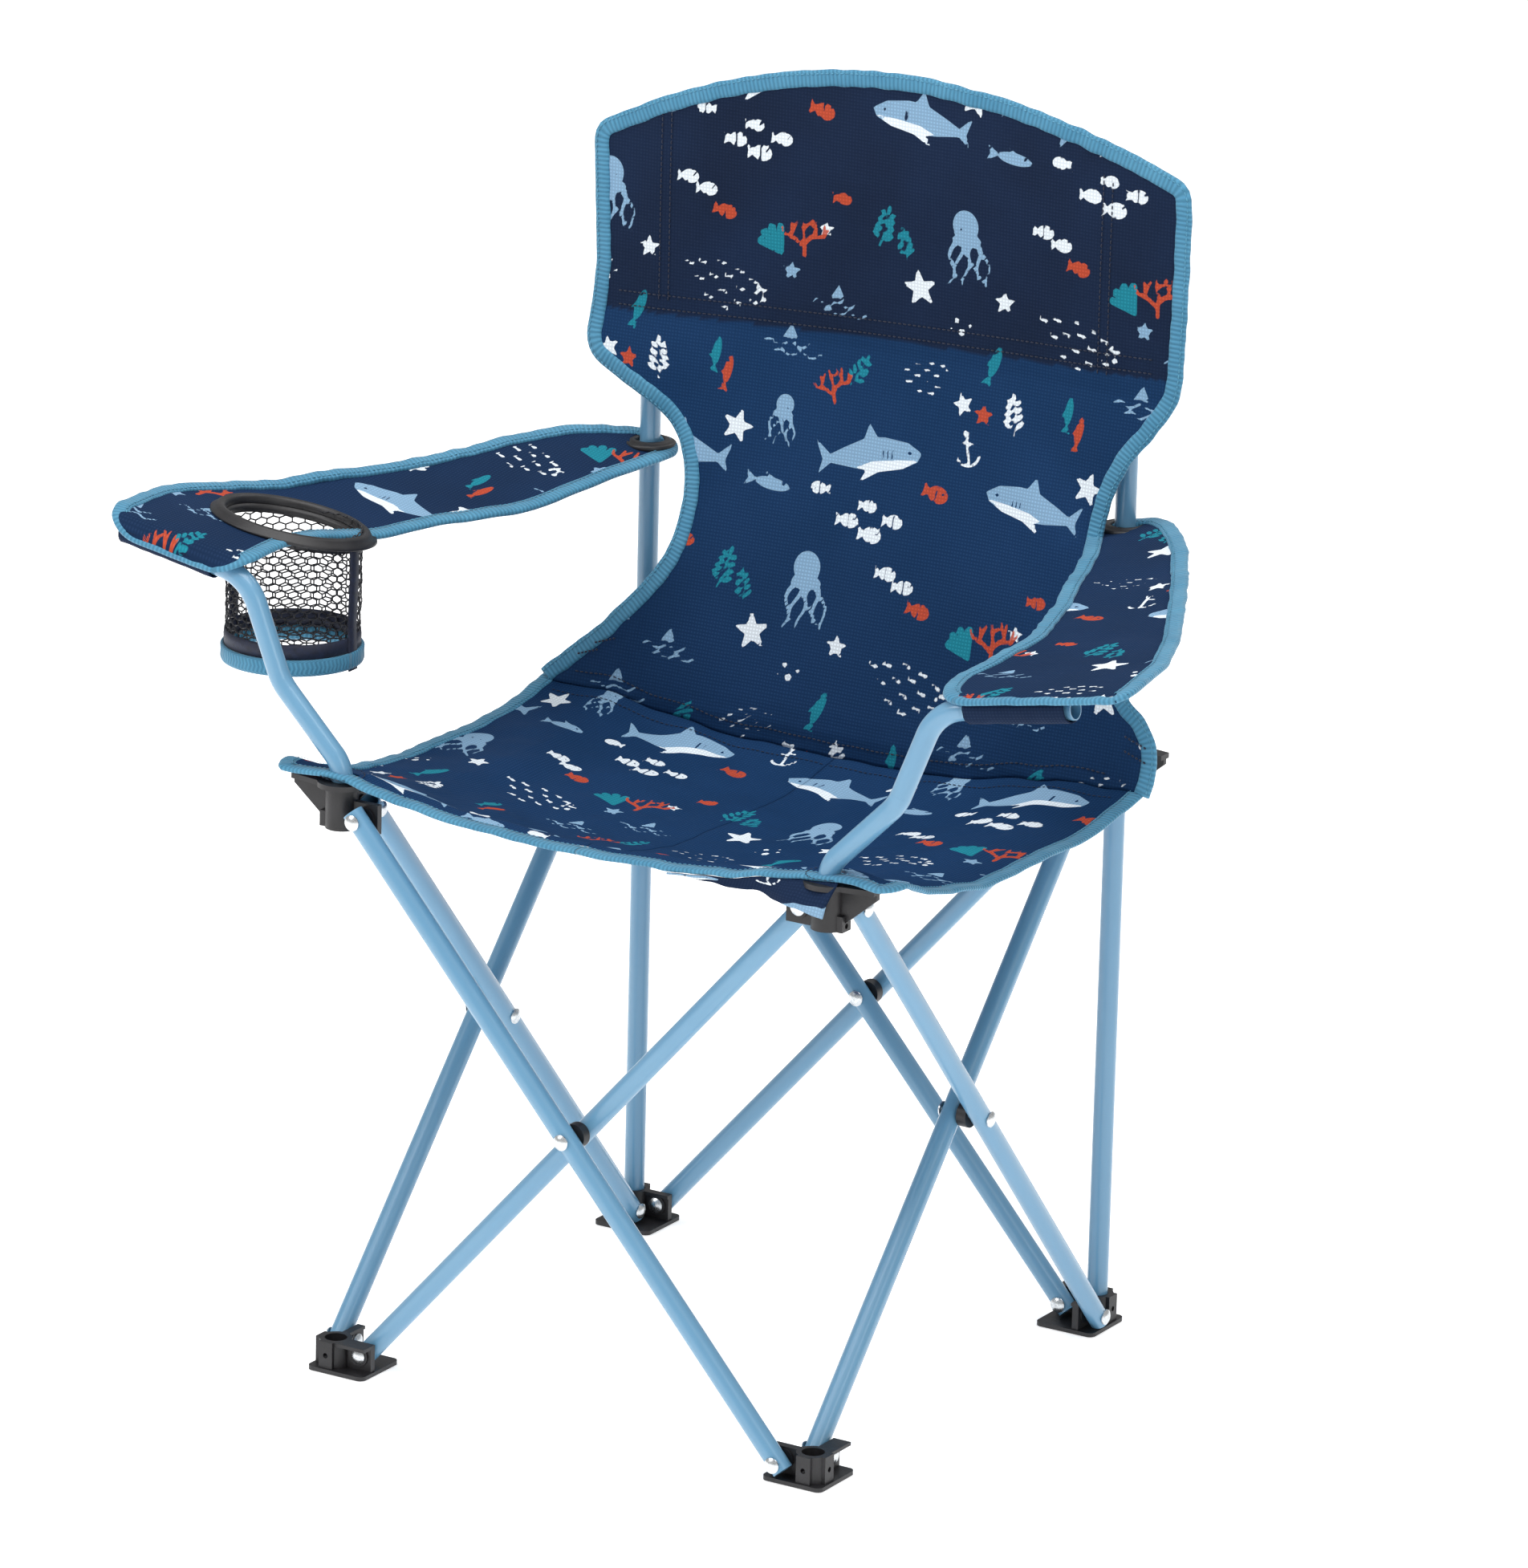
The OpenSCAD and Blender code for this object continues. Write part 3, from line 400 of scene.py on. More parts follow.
# One repeat of the print: motif, place in millimetres, turn, size, flipped
TILE = (232.0, 214.0)
LAYOUT = [
    (long_fish(), 42, 46, 8, 1.0, 1), (jelly(), 96, 182, 4, 1.05, 1),
    (round_fish(0), 148, 196, 0, 1.0, 1), (round_fish(0), 160, 190, 0, 1.0, 1),
    (round_fish(3), 172, 178, -10, 1.1, 1), (star(0), 66, 150, 10, 1.1, 1),
    (shoal(0), 164, 138, -18, 1.0, 1), (star(0, 7), 122, 150, 0, 0.9, 1), (coral(), 222, 170, 0, 1.0, 1),
    (fan_leaf(), 204, 164, 30, 1.0, 1), (star(1, 7), 214, 148, 0, 0.8, 1),
    (weed(2), 42, 182, -16, 0.9, 1), (weed(2), 56, 174, 10, 0.7, 1), (wavelet(), 12, 132, 0, 1.0, 1),
    (wavelet(), 214, 104, 0, 1.05, 1), (bubbles(), 94, 128, 0, 1.1, 1), (sprat(2), 116, 112, 70, 1.0, 1),
    (weed(0), 132, 84, 6, 0.85, 1), (star(3, 6), 112, 82, 0, 1.0, 1), (star(0, 7), 98, 86, 20, 0.9, 1),
    (anchor(), 104, 60, 12, 0.85, 1), (sprat(3), 176, 82, 80, 0.85, 1), (sprat(2), 168, 92, 84, 0.85, 1),
    (long_fish(), 150, 34, -4, 0.95, -1), (round_fish(3), 88, 32, -12, 1.2, 1),
    (round_fish(0), 32, 8, 0, 1.05, 1), (round_fish(0), 48, 2, 0, 1.15, 1),
    (round_fish(0), 62, 12, 0, 1.0, 1), (round_fish(0), 44, 18, 0, 0.9, 1),
    (sprat(1), 210, 22, -6, 1.15, 1), (jelly(), 214, 62, -6, 0.7, 1), (star(0), 186, 52, -14, 1.0, 1),
    (coral(), 12, 84, 12, 0.85, 1), (weed(2), 28, 94, -30, 0.75, 1), (bubbles(), 196, 128, 30, 0.9, 1),
    (round_fish(0), 10, 24, 180, 0.9, 1), (shoal(0), 66, 98, 8, 0.7, 1), (star(0, 6), 4, 176, 0, 0.8, 1),
    (round_fish(3), 16, 196, 0, 0.9, 1),
]


def print_field(p):
    """Ink on each point of the flat cloth: white, pale blue, teal and red, each 0.5 at a motif's edge."""
    sd = np.full((len(p), 4), 99.0)
    low, high = p.min(0), p.max(0)
    for i in range(math.floor(low[0] / TILE[0]) - 1, math.ceil(high[0] / TILE[0]) + 1):
        for j in range(math.floor(low[1] / TILE[1]) - 1, math.ceil(high[1] / TILE[1]) + 1):
            shift = 0.37 * TILE[0] * (j % 2)
            for parts, x, y, turn, size, flip in LAYOUT:
                c = np.array([x + i * TILE[0] + shift, y + j * TILE[1]])
                near = np.nonzero((np.abs(p - c) < 44 * size).all(1))[0]
                if not len(near):
                    continue
                a = math.radians(turn)
                d = (p[near] - c) / size
                q = np.stack([(d[:, 0] * math.cos(a) + d[:, 1] * math.sin(a)) * flip,
                              -d[:, 0] * math.sin(a) + d[:, 1] * math.cos(a)], 1)
                for col, (kind, *args) in parts:
                    dist = {"seg": seg, "oval": oval, "patch": patch}[kind](q, *args) * size
                    if col >= 0:
                        sd[near, col] = np.minimum(sd[near, col], dist)
                    else:
                        sd[near] = np.maximum(sd[near], -dist[:, None])
    return np.clip(0.5 - sd / 8.0, 0, 1)


# ------------------------------------------------------------ cloth meshes

def mesh_object(name, verts, faces, uvs, kinds, face_kind=None):
    """A mesh from points in millimetres, with its cloth map and finishes."""
    me = bpy.data.meshes.new(name)
    me.from_pydata((np.array(verts) * MM).tolist(), [], faces)
    layer = me.uv_layers.new(name="cloth")
    idx = np.empty(len(me.loops), int)
    me.loops.foreach_get("vertex_index", idx)
    layer.data.foreach_set("uv", (np.array(uvs)[idx] * MM).astype(np.float32).ravel())
    for k in kinds:
        me.materials.append(finish(k))
    if face_kind is not None:
        me.polygons.foreach_set("material_index", face_kind)
    me.polygons.foreach_set("use_smooth", [True] * len(me.polygons))
    o = bpy.data.objects.new(name, me)
    bpy.context.scene.collection.objects.link(o)
    me.update()
    return o


def solo(o):
    """Makes a piece the only one selected, and active."""
    bpy.ops.object.select_all(action="DESELECT")
    o.select_set(True)
    bpy.context.view_layer.objects.active = o


def thicken(o, mm, offset=-1.0):
    """Gives a sheet its thickness and applies it."""
    solo(o)
    mod = o.modifiers.new("thickness", "SOLIDIFY")
    mod.thickness = mm * MM
    mod.offset = offset
    bpy.ops.object.modifier_apply(modifier=mod.name)


def crease(x, y, seed, scale=0.02):
    """Smooth noise between about -1 and 1 over a sheet, places in millimetres."""
    return noise.noise(Vector((x * scale, y * scale, seed)))


def dye(o, ink, tone):
    """Sets the print's four inks and the ground's shade on each point."""
    layer = o.data.color_attributes.new("print", "FLOAT_COLOR", "POINT")
    layer.data.foreach_set("color", np.asarray(ink, np.float32).ravel())
    layer = o.data.attributes.new("shade", "FLOAT", "POINT")
    layer.data.foreach_set("value", np.asarray(tone, np.float32))


def cloth(name, nu, nv, place, flat, shade, thick=None, drop=None):
    """A printed sheet on a grid. place(u, v) is a point, flat(u, v) its place on the print, both in mm."""
    thick = look("cloth_thickness") / MM if thick is None else thick
    us, vs = np.linspace(0, 1, nu + 1), np.linspace(0, 1, nv + 1)
    verts = [place(u, v) for v in vs for u in us]
    pat = np.array([flat(u, v) for v in vs for u in us], float)
    faces = [(j * (nu + 1) + i, j * (nu + 1) + i + 1, (j + 1) * (nu + 1) + i + 1, (j + 1) * (nu + 1) + i)
             for j in range(nv) for i in range(nu)]
    if drop:
        faces = [f for f in faces if not drop(*(sum(verts[k][c] for k in f) / 4 for c in range(3)))]
    o = mesh_object(name, verts, faces, pat, ["print"])
    dye(o, print_field(pat), [shade(u, v) for v in vs for u in us])
    if drop:
        bm = bmesh.new()
        bm.from_mesh(o.data)
        bmesh.ops.delete(bm, geom=[v for v in bm.verts if not v.link_faces], context="VERTS")
        bm.to_mesh(o.data)
        bm.free()
    thicken(o, thick, 0.0)
    return o


def frames(points, closed, normals):
    """Each point of an edge with its tangent, normal and outward direction."""
    p = np.array(points, float)
    n = len(p)
    out = []
    for k in range(n):
        a, b = (p[(k - 1) % n], p[(k + 1) % n]) if closed else (p[max(k - 1, 0)], p[min(k + 1, n - 1)])
        t = (b - a) / max(np.linalg.norm(b - a), 1e-9)
        nr = np.array(normals[k], float)
        nr = nr - t * (nr @ t)
        nr /= max(np.linalg.norm(nr), 1e-9)
        out.append((p[k], t, nr, np.cross(t, nr)))
    return out


# The folded tape across: reach past the edge and height, in millimetres
SECTION = [(-8.2, 0.6), (-7.8, 1.2), (-4.0, 1.4), (-0.8, 1.5), (1.0, 1.15), (1.6, 0.0), (1.0, -1.15),
           (-0.8, -1.5), (-4.0, -1.4), (-7.8, -1.2), (-8.2, -0.6)]


def ribbon(name, points, closed, normals, section=SECTION, kind="tape", pucker=0.35, seed=1.0, swell=0.0):
    """Tape folded over an edge: a flat closed section carried along the edge."""
    fr = frames(points, closed, normals)
    m, n = len(section), len(fr)
    verts, uvs, run = [], [], 0.0
    for k, (p, t, nr, out) in enumerate(fr):
        if k:
            run += float(np.linalg.norm(p - fr[k - 1][0]))
        wob = pucker * crease(run, seed * 37, seed, 0.11)
        for i, (a, b) in enumerate(section):
            verts.append(p + out * (a + wob * 1.2) + nr * (b * (1 + swell) + wob))
            uvs.append((run, i * 3.0))
    faces = []
    for k in range(n if closed else n - 1):
        for i in range(m):
            a, b = k * m + i, k * m + (i + 1) % m
            c, d = ((k + 1) % n) * m + (i + 1) % m, ((k + 1) % n) * m + i
            faces.append((a, b, c, d))
    if not closed:
        faces += [tuple(range(m - 1, -1, -1)), tuple((n - 1) * m + i for i in range(m))]
    o = mesh_object(name, verts, faces, uvs, [kind])
    face_out(o)
    return o


def face_out(o):
    """Turns every face of a closed piece outwards."""
    solo(o)
    bpy.ops.object.mode_set(mode="EDIT")
    bpy.ops.mesh.select_all(action="SELECT")
    bpy.ops.mesh.normals_make_consistent(inside=False)
    bpy.ops.object.mode_set(mode="OBJECT")


def edge_row(points, closed, normals, inset=6.3, lift=1.55):
    """A stitch line on the tape, along the cloth's edge."""
    return [tuple(p - out * inset + nr * lift) + tuple(nr)
            for p, t, nr, out in frames(points, closed, normals)]


def resample(points, step):
    """The same line with points step mm apart."""
    p = np.array(points, float)
    d = np.concatenate([[0], np.cumsum(np.linalg.norm(np.diff(p, axis=0), axis=1))])
    s = np.linspace(0, d[-1], max(int(d[-1] / step), 2) + 1)
    return np.stack([np.interp(s, d, p[:, k]) for k in range(p.shape[1])], 1)


def stitches(name, lines, kind="thread", length=2.6, gap=1.2, width=0.8, height=0.5):
    """Rows of lockstitch. Each line is a list of points with normals, six numbers each."""
    # One stitch: share of its length, side and height of each corner, then its faces
    corners = ((0, 0, 0.2), (0.25, 1, 0.5), (0.25, -1, 0.5), (0.75, 1, 0.5), (0.75, -1, 0.5), (1, 0, 0.2),
               (0.3, 0, 1), (0.7, 0, 1))
    sides = ((0, 2, 6), (0, 6, 1), (1, 6, 7, 3), (2, 4, 7, 6), (3, 7, 5), (4, 5, 7), (0, 1, 3, 5, 4, 2))
    pace = 0.65
    verts, faces, uvs = [], [], []
    for rows in lines:
        q = resample(rows, pace)
        step, span = int((length + gap) / pace), int(length / pace)
        for k in range(0, len(q) - span, max(step, 1)):
            a, b, nr = q[k, :3], q[k + span, :3], q[k, 3:]
            t = b - a
            if np.linalg.norm(t) < 1e-6:
                continue
            side = np.cross(nr, t / np.linalg.norm(t)) * width / 2
            up = nr / max(np.linalg.norm(nr), 1e-9) * height
            base = len(verts)
            for s, w, h in corners:
                verts.append(a + t * s + side * w + up * h)
                uvs.append((s, w))
            faces += [tuple(base + i for i in f) for f in sides]
    return mesh_object(name, verts, faces, uvs, [kind])


def smooth_step(x):
    """0 below 0, 1 above 1 and an easy curve between."""
    x = min(max(x, 0.0), 1.0)
    return x * x * (3 - 2 * x)


# ------------------------------------------------------------------- seat

def seat_z(x, y):
    """Height of the seat's cloth: held flat at the hubs and slung between them."""
    ax, ay = min(abs(x) / SEAT_HELD, 1.0), min(abs(y) / SEAT_HELD, 1.0)
    slung = 24.0 * (1 - ay ** 3) + 13.5 * (1 - ax ** 2.5)
    # Pulls run in from the four hubs, and the cloth ripples a little along them.
    pull = math.exp(-(((abs(x) - abs(y)) / 34.0) ** 2)) * smooth_step((ax + ay) / 1.4)
    fold = 1.7 * crease(abs(x) + x * 0.13, abs(y) * 0.7, 3.1, 0.03) + 0.9 * crease(x, y, 5.0, 0.055)
    free = min(max(abs(x) - SEAT_HELD, abs(y) - SEAT_HELD, 0) / 10 + (1 - ax) * 3 + (1 - ay) * 3, 1.0)
    return SEAT_Z - slung + fold * free + 1.3 * pull * free * math.sin((x + y) * 0.09)


def seat_width(y):
    """Half width of the seat, pulled in a little between the hubs and round at the corners."""
    a = abs(y)
    side = SEAT_HALF - 2.5 * math.cos(a / 165 * math.pi / 2)
    if y > 112:
        return side - 26.0 * ((y - 112.0) / 53.0) ** 1.3
    return side - 8.0 * max((a - 149.0) / 16.0, 0) ** 2


def seat_point(side, u, v):
    """A point of one half of the seat, from the middle seam outwards and from front to rear."""
    y = -SEAT_END + 2 * SEAT_END * v
    x = side * (0.15 + u * (seat_width(y) - 0.15))
    if v < 0.5:
        y += 3.0 * (1 - u) ** 2 * (1 - 2 * v) ** 6
    return (x, y, seat_z(x, y))


def near_post(x, y, z):
    """True where the seat is cut out round a post."""
    return any(math.hypot(abs(x) - CORNER, y - s * CORNER) < 9.0 for s in (-1, 1))


def follow_seat(o, side):
    """The cloth rides its half of the seat."""
    word = "left" if side < 0 else "right"
    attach(o, f"seat_half_{word}")
    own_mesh(o)
    return o


def build_seat():
    for side, word in ((-1, "left"), (1, "right")):
        def on_print(u, v):
            x, y, _ = seat_point(side, u, v)
            return (x + 130, y - 40)
        o = cloth(f"seat_cloth_{word}", 112, 176, lambda u, v: seat_point(side, u, v), on_print,
                  lambda u, v: 1.0, drop=near_post)
        edge = [seat_point(side, u, 0) for u in np.linspace(0, 1, 60)]
        edge += [seat_point(side, 1, v) for v in np.linspace(0, 1, 120)][1:]
        edge += [seat_point(side, u, 1) for u in np.linspace(1, 0, 60)][1:]
        edge = resample(edge, 2.6)
        ups = [(0, 0, 1)] * len(edge)
        pts = edge if side > 0 else edge[::-1]
        tape = ribbon(f"seat_binding_{word}", pts, False, ups, seed=side + 4.0, pucker=0.5)
        sew = [edge_row(pts, False, ups)]
        seam_y = SEAM_Y - 9.0
        seam = [(x, seam_y, seat_z(x, seam_y) + 0.5, 0, 0, 1) for x in np.linspace(side * 2, side * 186, 90)]
        holes = [[(side * CORNER + 12.5 * math.cos(a), s * CORNER + 12.5 * math.sin(a), 348.1, 0, 0, 1)
                  for a in np.linspace(0, 2 * math.pi, 40)] for s in (-1, 1)]
        seams = stitches(f"seat_stitching_{word}", [seam] + holes)
        pale = stitches(f"seat_binding_stitching_{word}", sew, kind="pale_thread")
        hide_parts(f"seat_{word}")
        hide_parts(f"seat_tape_{word}")
        for piece in (o, tape, seams, pale):
            follow_seat(piece, side)
    hem_flap()


def hem_flap():
    """The end of the front hem, loose under the right front corner."""
    def place(u, v):
        x = 60 + 108 * u - 5 * v * u
        fall = 1.0 + 18.0 * u ** 1.6
        y = -165.2 - 7.6 * smooth_step((x - 118) / 24) * min(v * 1.6, 1)
        return (x, y, seat_z(x, -165) - 1.4 - fall * v + 0.8 * crease(x, v * 20, 14.0, 0.09) * v)
    o = cloth("seat_hem_flap", 54, 10, place, lambda u, v: (40 + 108 * u, 60 - 20 * v), lambda u, v: 0.1)
    follow_seat(o, 1)


# ------------------------------------------------------------------- back

# The back hangs a little askew on its posts: height and reach of each side edge, then the top edge
SIDES = {
    -1: [(335, 194), (339, 190), (352, 175), (367, 155), (391, 134), (412, 119), (424, 114.5),
         (443, 111.5), (461, 112.5), (474, 117), (486, 126), (496, 140), (507, 157), (518, 172),
         (527, 184.5), (533, 186), (575, 181), (612, 182.5), (655, 184.5)],
    1: [(335, 196), (344, 198), (355, 198.5), (364, 197), (372, 189), (380, 178), (395, 163), (412, 153),
        (430, 147.5), (450, 145.5), (470, 146.5), (493, 151), (514, 161), (529, 171.5), (546, 182),
        (557, 186.5), (570, 187.5), (625, 188.5), (669, 188.8)],
}
TOP = [(-186, 651), (-176, 656.5), (-162, 662.5), (-146, 670.5), (-109, 684), (-70, 694.5), (-30, 701),
       (0, 703.2), (22, 703.5), (74, 698.8), (110, 692), (141, 684.4), (172, 675), (190, 667.5)]


def back_edge(side, z):
    """Reach of the back's side at a height, with its corners eased."""
    table = np.array(SIDES[side], float)
    return side * sum(float(np.interp(z + d, table[:, 0], table[:, 1])) for d in (-3, 0, 3)) / 3


def back_rim(x):
    """Height of the back's top edge, with its corners eased."""
    table = np.array(TOP, float)
    return sum(float(np.interp(x + d, table[:, 0], table[:, 1])) for d in (-6, 0, 6)) / 3


def back_y(x, z):
    """Depth of the back's cloth: straight in the pockets, slung back between them and leaning to the seam."""
    rise = (z - 335.0) / (POCKET_Z - 335.0)
    lean = SEAM_Y + (PANEL_Y - SEAM_Y) * min(max(rise, 0), 1) ** 0.92
    ax = min(abs(x) / 150.0, 1.0)
    belly = 9.0 * (1 - ax ** 2) * math.sin(math.pi * min(max((z - 345) / 300, 0), 1))
    top_bow = 4.5 * (1 - ax ** 2) * smooth_step((z - 540) / 120)
    low = smooth_step((560 - z) / 60)
    drape = 1.6 * crease(x, z * 0.5, 8.0, 0.028) * (0.35 + 0.65 * low)
    pull = 1.3 * math.sin((abs(x) * 0.75 + z) * 0.075) * math.exp(-(((abs(x) - 120) / 34) ** 2)) * low * \
        math.exp(-(((z - 470) / 60) ** 2))
    return min(lean + belly + top_bow + drape + pull, 151.2 if abs(x) > 144 and z > 540 else 200.0)


def back_point(u, v):
    """A point of the back, from side to side and from the seat seam to the top edge."""
    left, right = (back_edge(s, 336 + (h - 336) * v) for s, h in ((-1, 651), (1, 668)))
    x = left + (right - left) * u
    low = seat_z(x, SEAM_Y) + 0.6
    high = back_rim(x)
    z = low + (high - low) * v
    return (x, back_y(x, z), z)


def band_foot(x):
    """Height of the doubled band's lower stitch line."""
    return 558.5 + 0.033 * x


def back_tone_and_painted_shade(u, v):
    """The doubled band is darkest and the cloth under it lightest, with painted shade deepening it towards
    the seat.
    """
    x, _, z = back_point(u, v)
    # Below the band the rise from 0.88 to 0.98 is painted shade, darker where the back meets the seat.
    return 0.04 if z > band_foot(x) - 2 else 0.88 + 0.1 * smooth_step((z - 380) / 150)


def follow_back(o):
    """The cloth rides the rear left foot."""
    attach(o, "rear_left_foot")
    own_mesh(o)
    return o


def build_back():
    def on_print(u, v):
        x, _, z = back_point(u, v)
        return (x + 130, (z - 330) * 1.03 + 96)
    o = cloth("back_cloth", 190, 182, back_point, on_print, back_tone_and_painted_shade)
    n = 90
    edge = [back_point(0, v) for v in np.linspace(0, 1, n)]
    edge += [back_point(u, 1) for u in np.linspace(0, 1, n)][1:]
    edge += [back_point(1, v) for v in np.linspace(1, 0, n)][1:]
    edge = round_corners(resample(edge, 2.6))
    forwards = [(0, -1, 0)] * len(edge)
    tape = ribbon("back_binding", edge, False, forwards, pucker=0.5, seed=2.0)
    lines = []
    for dz in (1.0, 9.0):
        lines.append([(x, back_y(x, band_foot(x) + dz) - 0.7, band_foot(x) + dz, 0, -1, 0)
                      for x in np.linspace(-174, 178, 160)])
    for s in (-1, 1):
        for dx in (141.0, 147.0):
            lines.append([(s * dx, back_y(s * dx, z) - 0.6, z, 0, -1, 0)
                          for z in np.linspace(560, back_rim(dx) - 10, 60)])
    lines.append([(x, back_y(x, seat_z(x, SEAM_Y) + 9) - 0.8, seat_z(x, SEAM_Y) + 9, 0, -1, 0.2)
                  for x in np.linspace(-176, 176, 170)])
    sewn = stitches("back_stitching", lines)
    pale = stitches("back_binding_stitching", [edge_row(edge, False, forwards)], kind="pale_thread")
    tacks = []
    for s in (-1, 1):
        for dz in (4.0, 12.0):
            z = 349 + dz
            w = abs(back_edge(s, z))
            tacks.append([(s * (w + 1 - k), back_y(s * (w - k), z + 3) - 2.2, z + 0.35 * k, 0, -1, 0)
                          for k in np.linspace(-1, 15, 12)])
    bars = stitches("seam_bar_tacks", tacks, length=2.0, gap=0.6, width=1.2, height=0.8)
    band = pocket_band()
    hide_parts("back_panel")
    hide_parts("back_tape")
    for piece in (o, tape, sewn, pale, bars, band):
        follow_back(piece)


def round_corners(p, passes=3):
    """Eases the corners of an open edge."""
    q = np.array(p, float)
    for _ in range(passes):
        q[1:-1] = (q[:-2] + 2 * q[1:-1] + q[2:]) / 4
    return q


def band_point(u, v):
    """A point of the doubled band behind the back, wrapped over the posts."""
    x = -179.0 + 364.0 * u
    z = BAND_LOW + (back_rim(x) - 2.0 - BAND_LOW) * v
    off = abs(abs(x) - CORNER)
    swell = 13.6 * math.exp(-((off / 11.5) ** 2)) * (1 - 0.6 * smooth_step((v - 0.86) / 0.14))
    flat = back_y(x, z) + 1.6
    return (x, max(flat, 151.9 + swell) if off < 26 else flat, z)


def pocket_band():
    """The doubled cloth behind the back's top, swelling over the two posts."""
    def on_print(u, v):
        x, _, z = band_point(u, v)
        return (60 - x, z - 300)
    o = cloth("back_pocket_cloth", 170, 70, band_point, on_print, lambda u, v: 0.08)
    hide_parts("back_pocket_band")
    return o


# --------------------------------------------------------------- armrests

# Inner and outer edge of each armrest from the chair's middle, by distance from front to rear. Past the
# front post's line the distance is measured round its tube.
ARMS = {
    1: [(-168, 238, 334), (-162, 228, 338), (-154, 223, 338), (-129, 215, 333), (-103, 217, 328),
        (-52, 216, 307), (7, 198, 277), (57, 178, 251), (104, 162, 225), (130, 149, 208), (146, 141, 196),
        (158, 140, 186), (168, 150, 174)],
    -1: [(-172, 238, 296), (-166, 226, 306), (-158, 219.5, 311), (-150, 218.5, 312), (-127, 218.5, 314),
         (-108, 218, 315), (-92, 217.5, 311), (-68, 211, 300), (-50, 204, 294), (-31, 198, 283),
         (-8, 189.5, 271), (11, 179, 262), (32, 169.5, 251), (61, 161, 239), (86, 156.5, 228),
         (110, 151, 219), (128, 146, 209), (142, 141, 199), (156, 138, 182), (168, 147, 171)],
}
# How sharply each armrest turns down over its front sleeve
FRONT_TURN = {1: 0.45, -1: 1.0}


def cup_plane(x, y):
    """The cup's rim pulls the cloth down towards the back and the middle."""
    return 462.5 - 0.152 * (x - CUP[0]) - 0.131 * (y - CUP[1])


def arm_point(side, u, v):
    """A point of one armrest, from its inner edge outwards and from front to rear."""
    table = np.array(ARMS[side], float)
    # Closer steps at the ends keep the rounded corners smooth.
    v = 0.55 * (0.5 - 0.5 * math.cos(math.pi * v)) + 0.45 * v
    y = table[0, 0] + (table[-1, 0] - table[0, 0]) * v
    a, b = np.interp(y, table[:, 0], table[:, 1]), np.interp(y, table[:, 0], table[:, 2])
    x = a + (b - a) * u
    z = ARM_Z + (x - REST[0]) * ARM_SLOPE + (max(y, -CORNER) + CORNER) * ARM_RISE + 1.6
    # The cloth hangs between its front sleeve and the rear post, and its edges lift a little.
    hang = math.sin(math.pi * min(max((y + 150) / 300, 0), 1))
    z -= (12.0 if side < 0 else 5.0) * hang - 2.0 * hang * (2 * u - 1) ** 2
    z += 1.3 * crease(x, y, 11.0 + side, 0.035) * min(hang * 2, 1)
    if side < 0:
        near = math.exp(-((math.hypot(x + CUP[0], y - CUP[1]) / 62.0) ** 4))
        z += (cup_plane(-x, y) - z) * near
    if y < -CORNER:
        turn = (-CORNER - y) / 9.5 * FRONT_TURN[side]
        reach = 9.5 / FRONT_TURN[side]
        y, z = -CORNER - reach * math.sin(turn), z - reach * (1 - math.cos(turn))
    return (side * x, y, z)


def follow_arm(o, side):
    """The cloth rides its front hub."""
    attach(o, f"front_{'left' if side < 0 else 'right'}_hub")
    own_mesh(o)
    return o


def arm_opening(side):
    """The openings in an armrest: the back post's, and the cup's on one side."""
    def drop(x, y, z):
        if math.hypot(abs(x) - CORNER, y - CORNER) < 10.5:
            return True
        return side < 0 and math.hypot(x - CUP[0], y - CUP[1]) < 40.0
    return drop


def build_arm(side):
    word = "left" if side < 0 else "right"
    def on_print(u, v):
        x, y, _ = arm_point(side, u, v)
        return (x + 90 * side, y + 40)
    o = cloth(f"armrest_cloth_{word}", 64, 176, lambda u, v: arm_point(side, u, v), on_print,
              lambda u, v: 0.45, thick=1.2, drop=arm_opening(side))
    across, along = np.linspace(0, 1, 70), np.linspace(0, 1, 140)
    edge = [arm_point(side, u, 0) for u in across] + [arm_point(side, 1, v) for v in along][1:]
    edge += [arm_point(side, u, 1) for u in across[::-1]][1:]
    edge += [arm_point(side, 0, v) for v in along[::-1]][1:-1]
    edge = resample(edge + [edge[0]], 2.6)[:-1]
    for _ in range(5):
        edge = (np.roll(edge, 1, 0) + 2 * edge + np.roll(edge, -1, 0)) / 4
    if side < 0:
        edge = edge[::-1]
    ups = [(-0.17 * side, -0.07, 1)] * len(edge)
    tape = ribbon(f"armrest_binding_{word}", edge, True, ups, pucker=0.6, seed=6.0 + side, swell=0.25)
    pale = stitches(f"armrest_binding_stitching_{word}", [edge_row(edge, True, ups, lift=1.9)],
                    kind="pale_thread")
    sleeve = arm_sleeve(side)
    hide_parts(f"armrest_{word}")
    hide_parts(f"armrest_tape_{word}")
    for piece in (o, tape, pale):
        follow_arm(piece, side)
    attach(sleeve, f"front_{word}_hub")


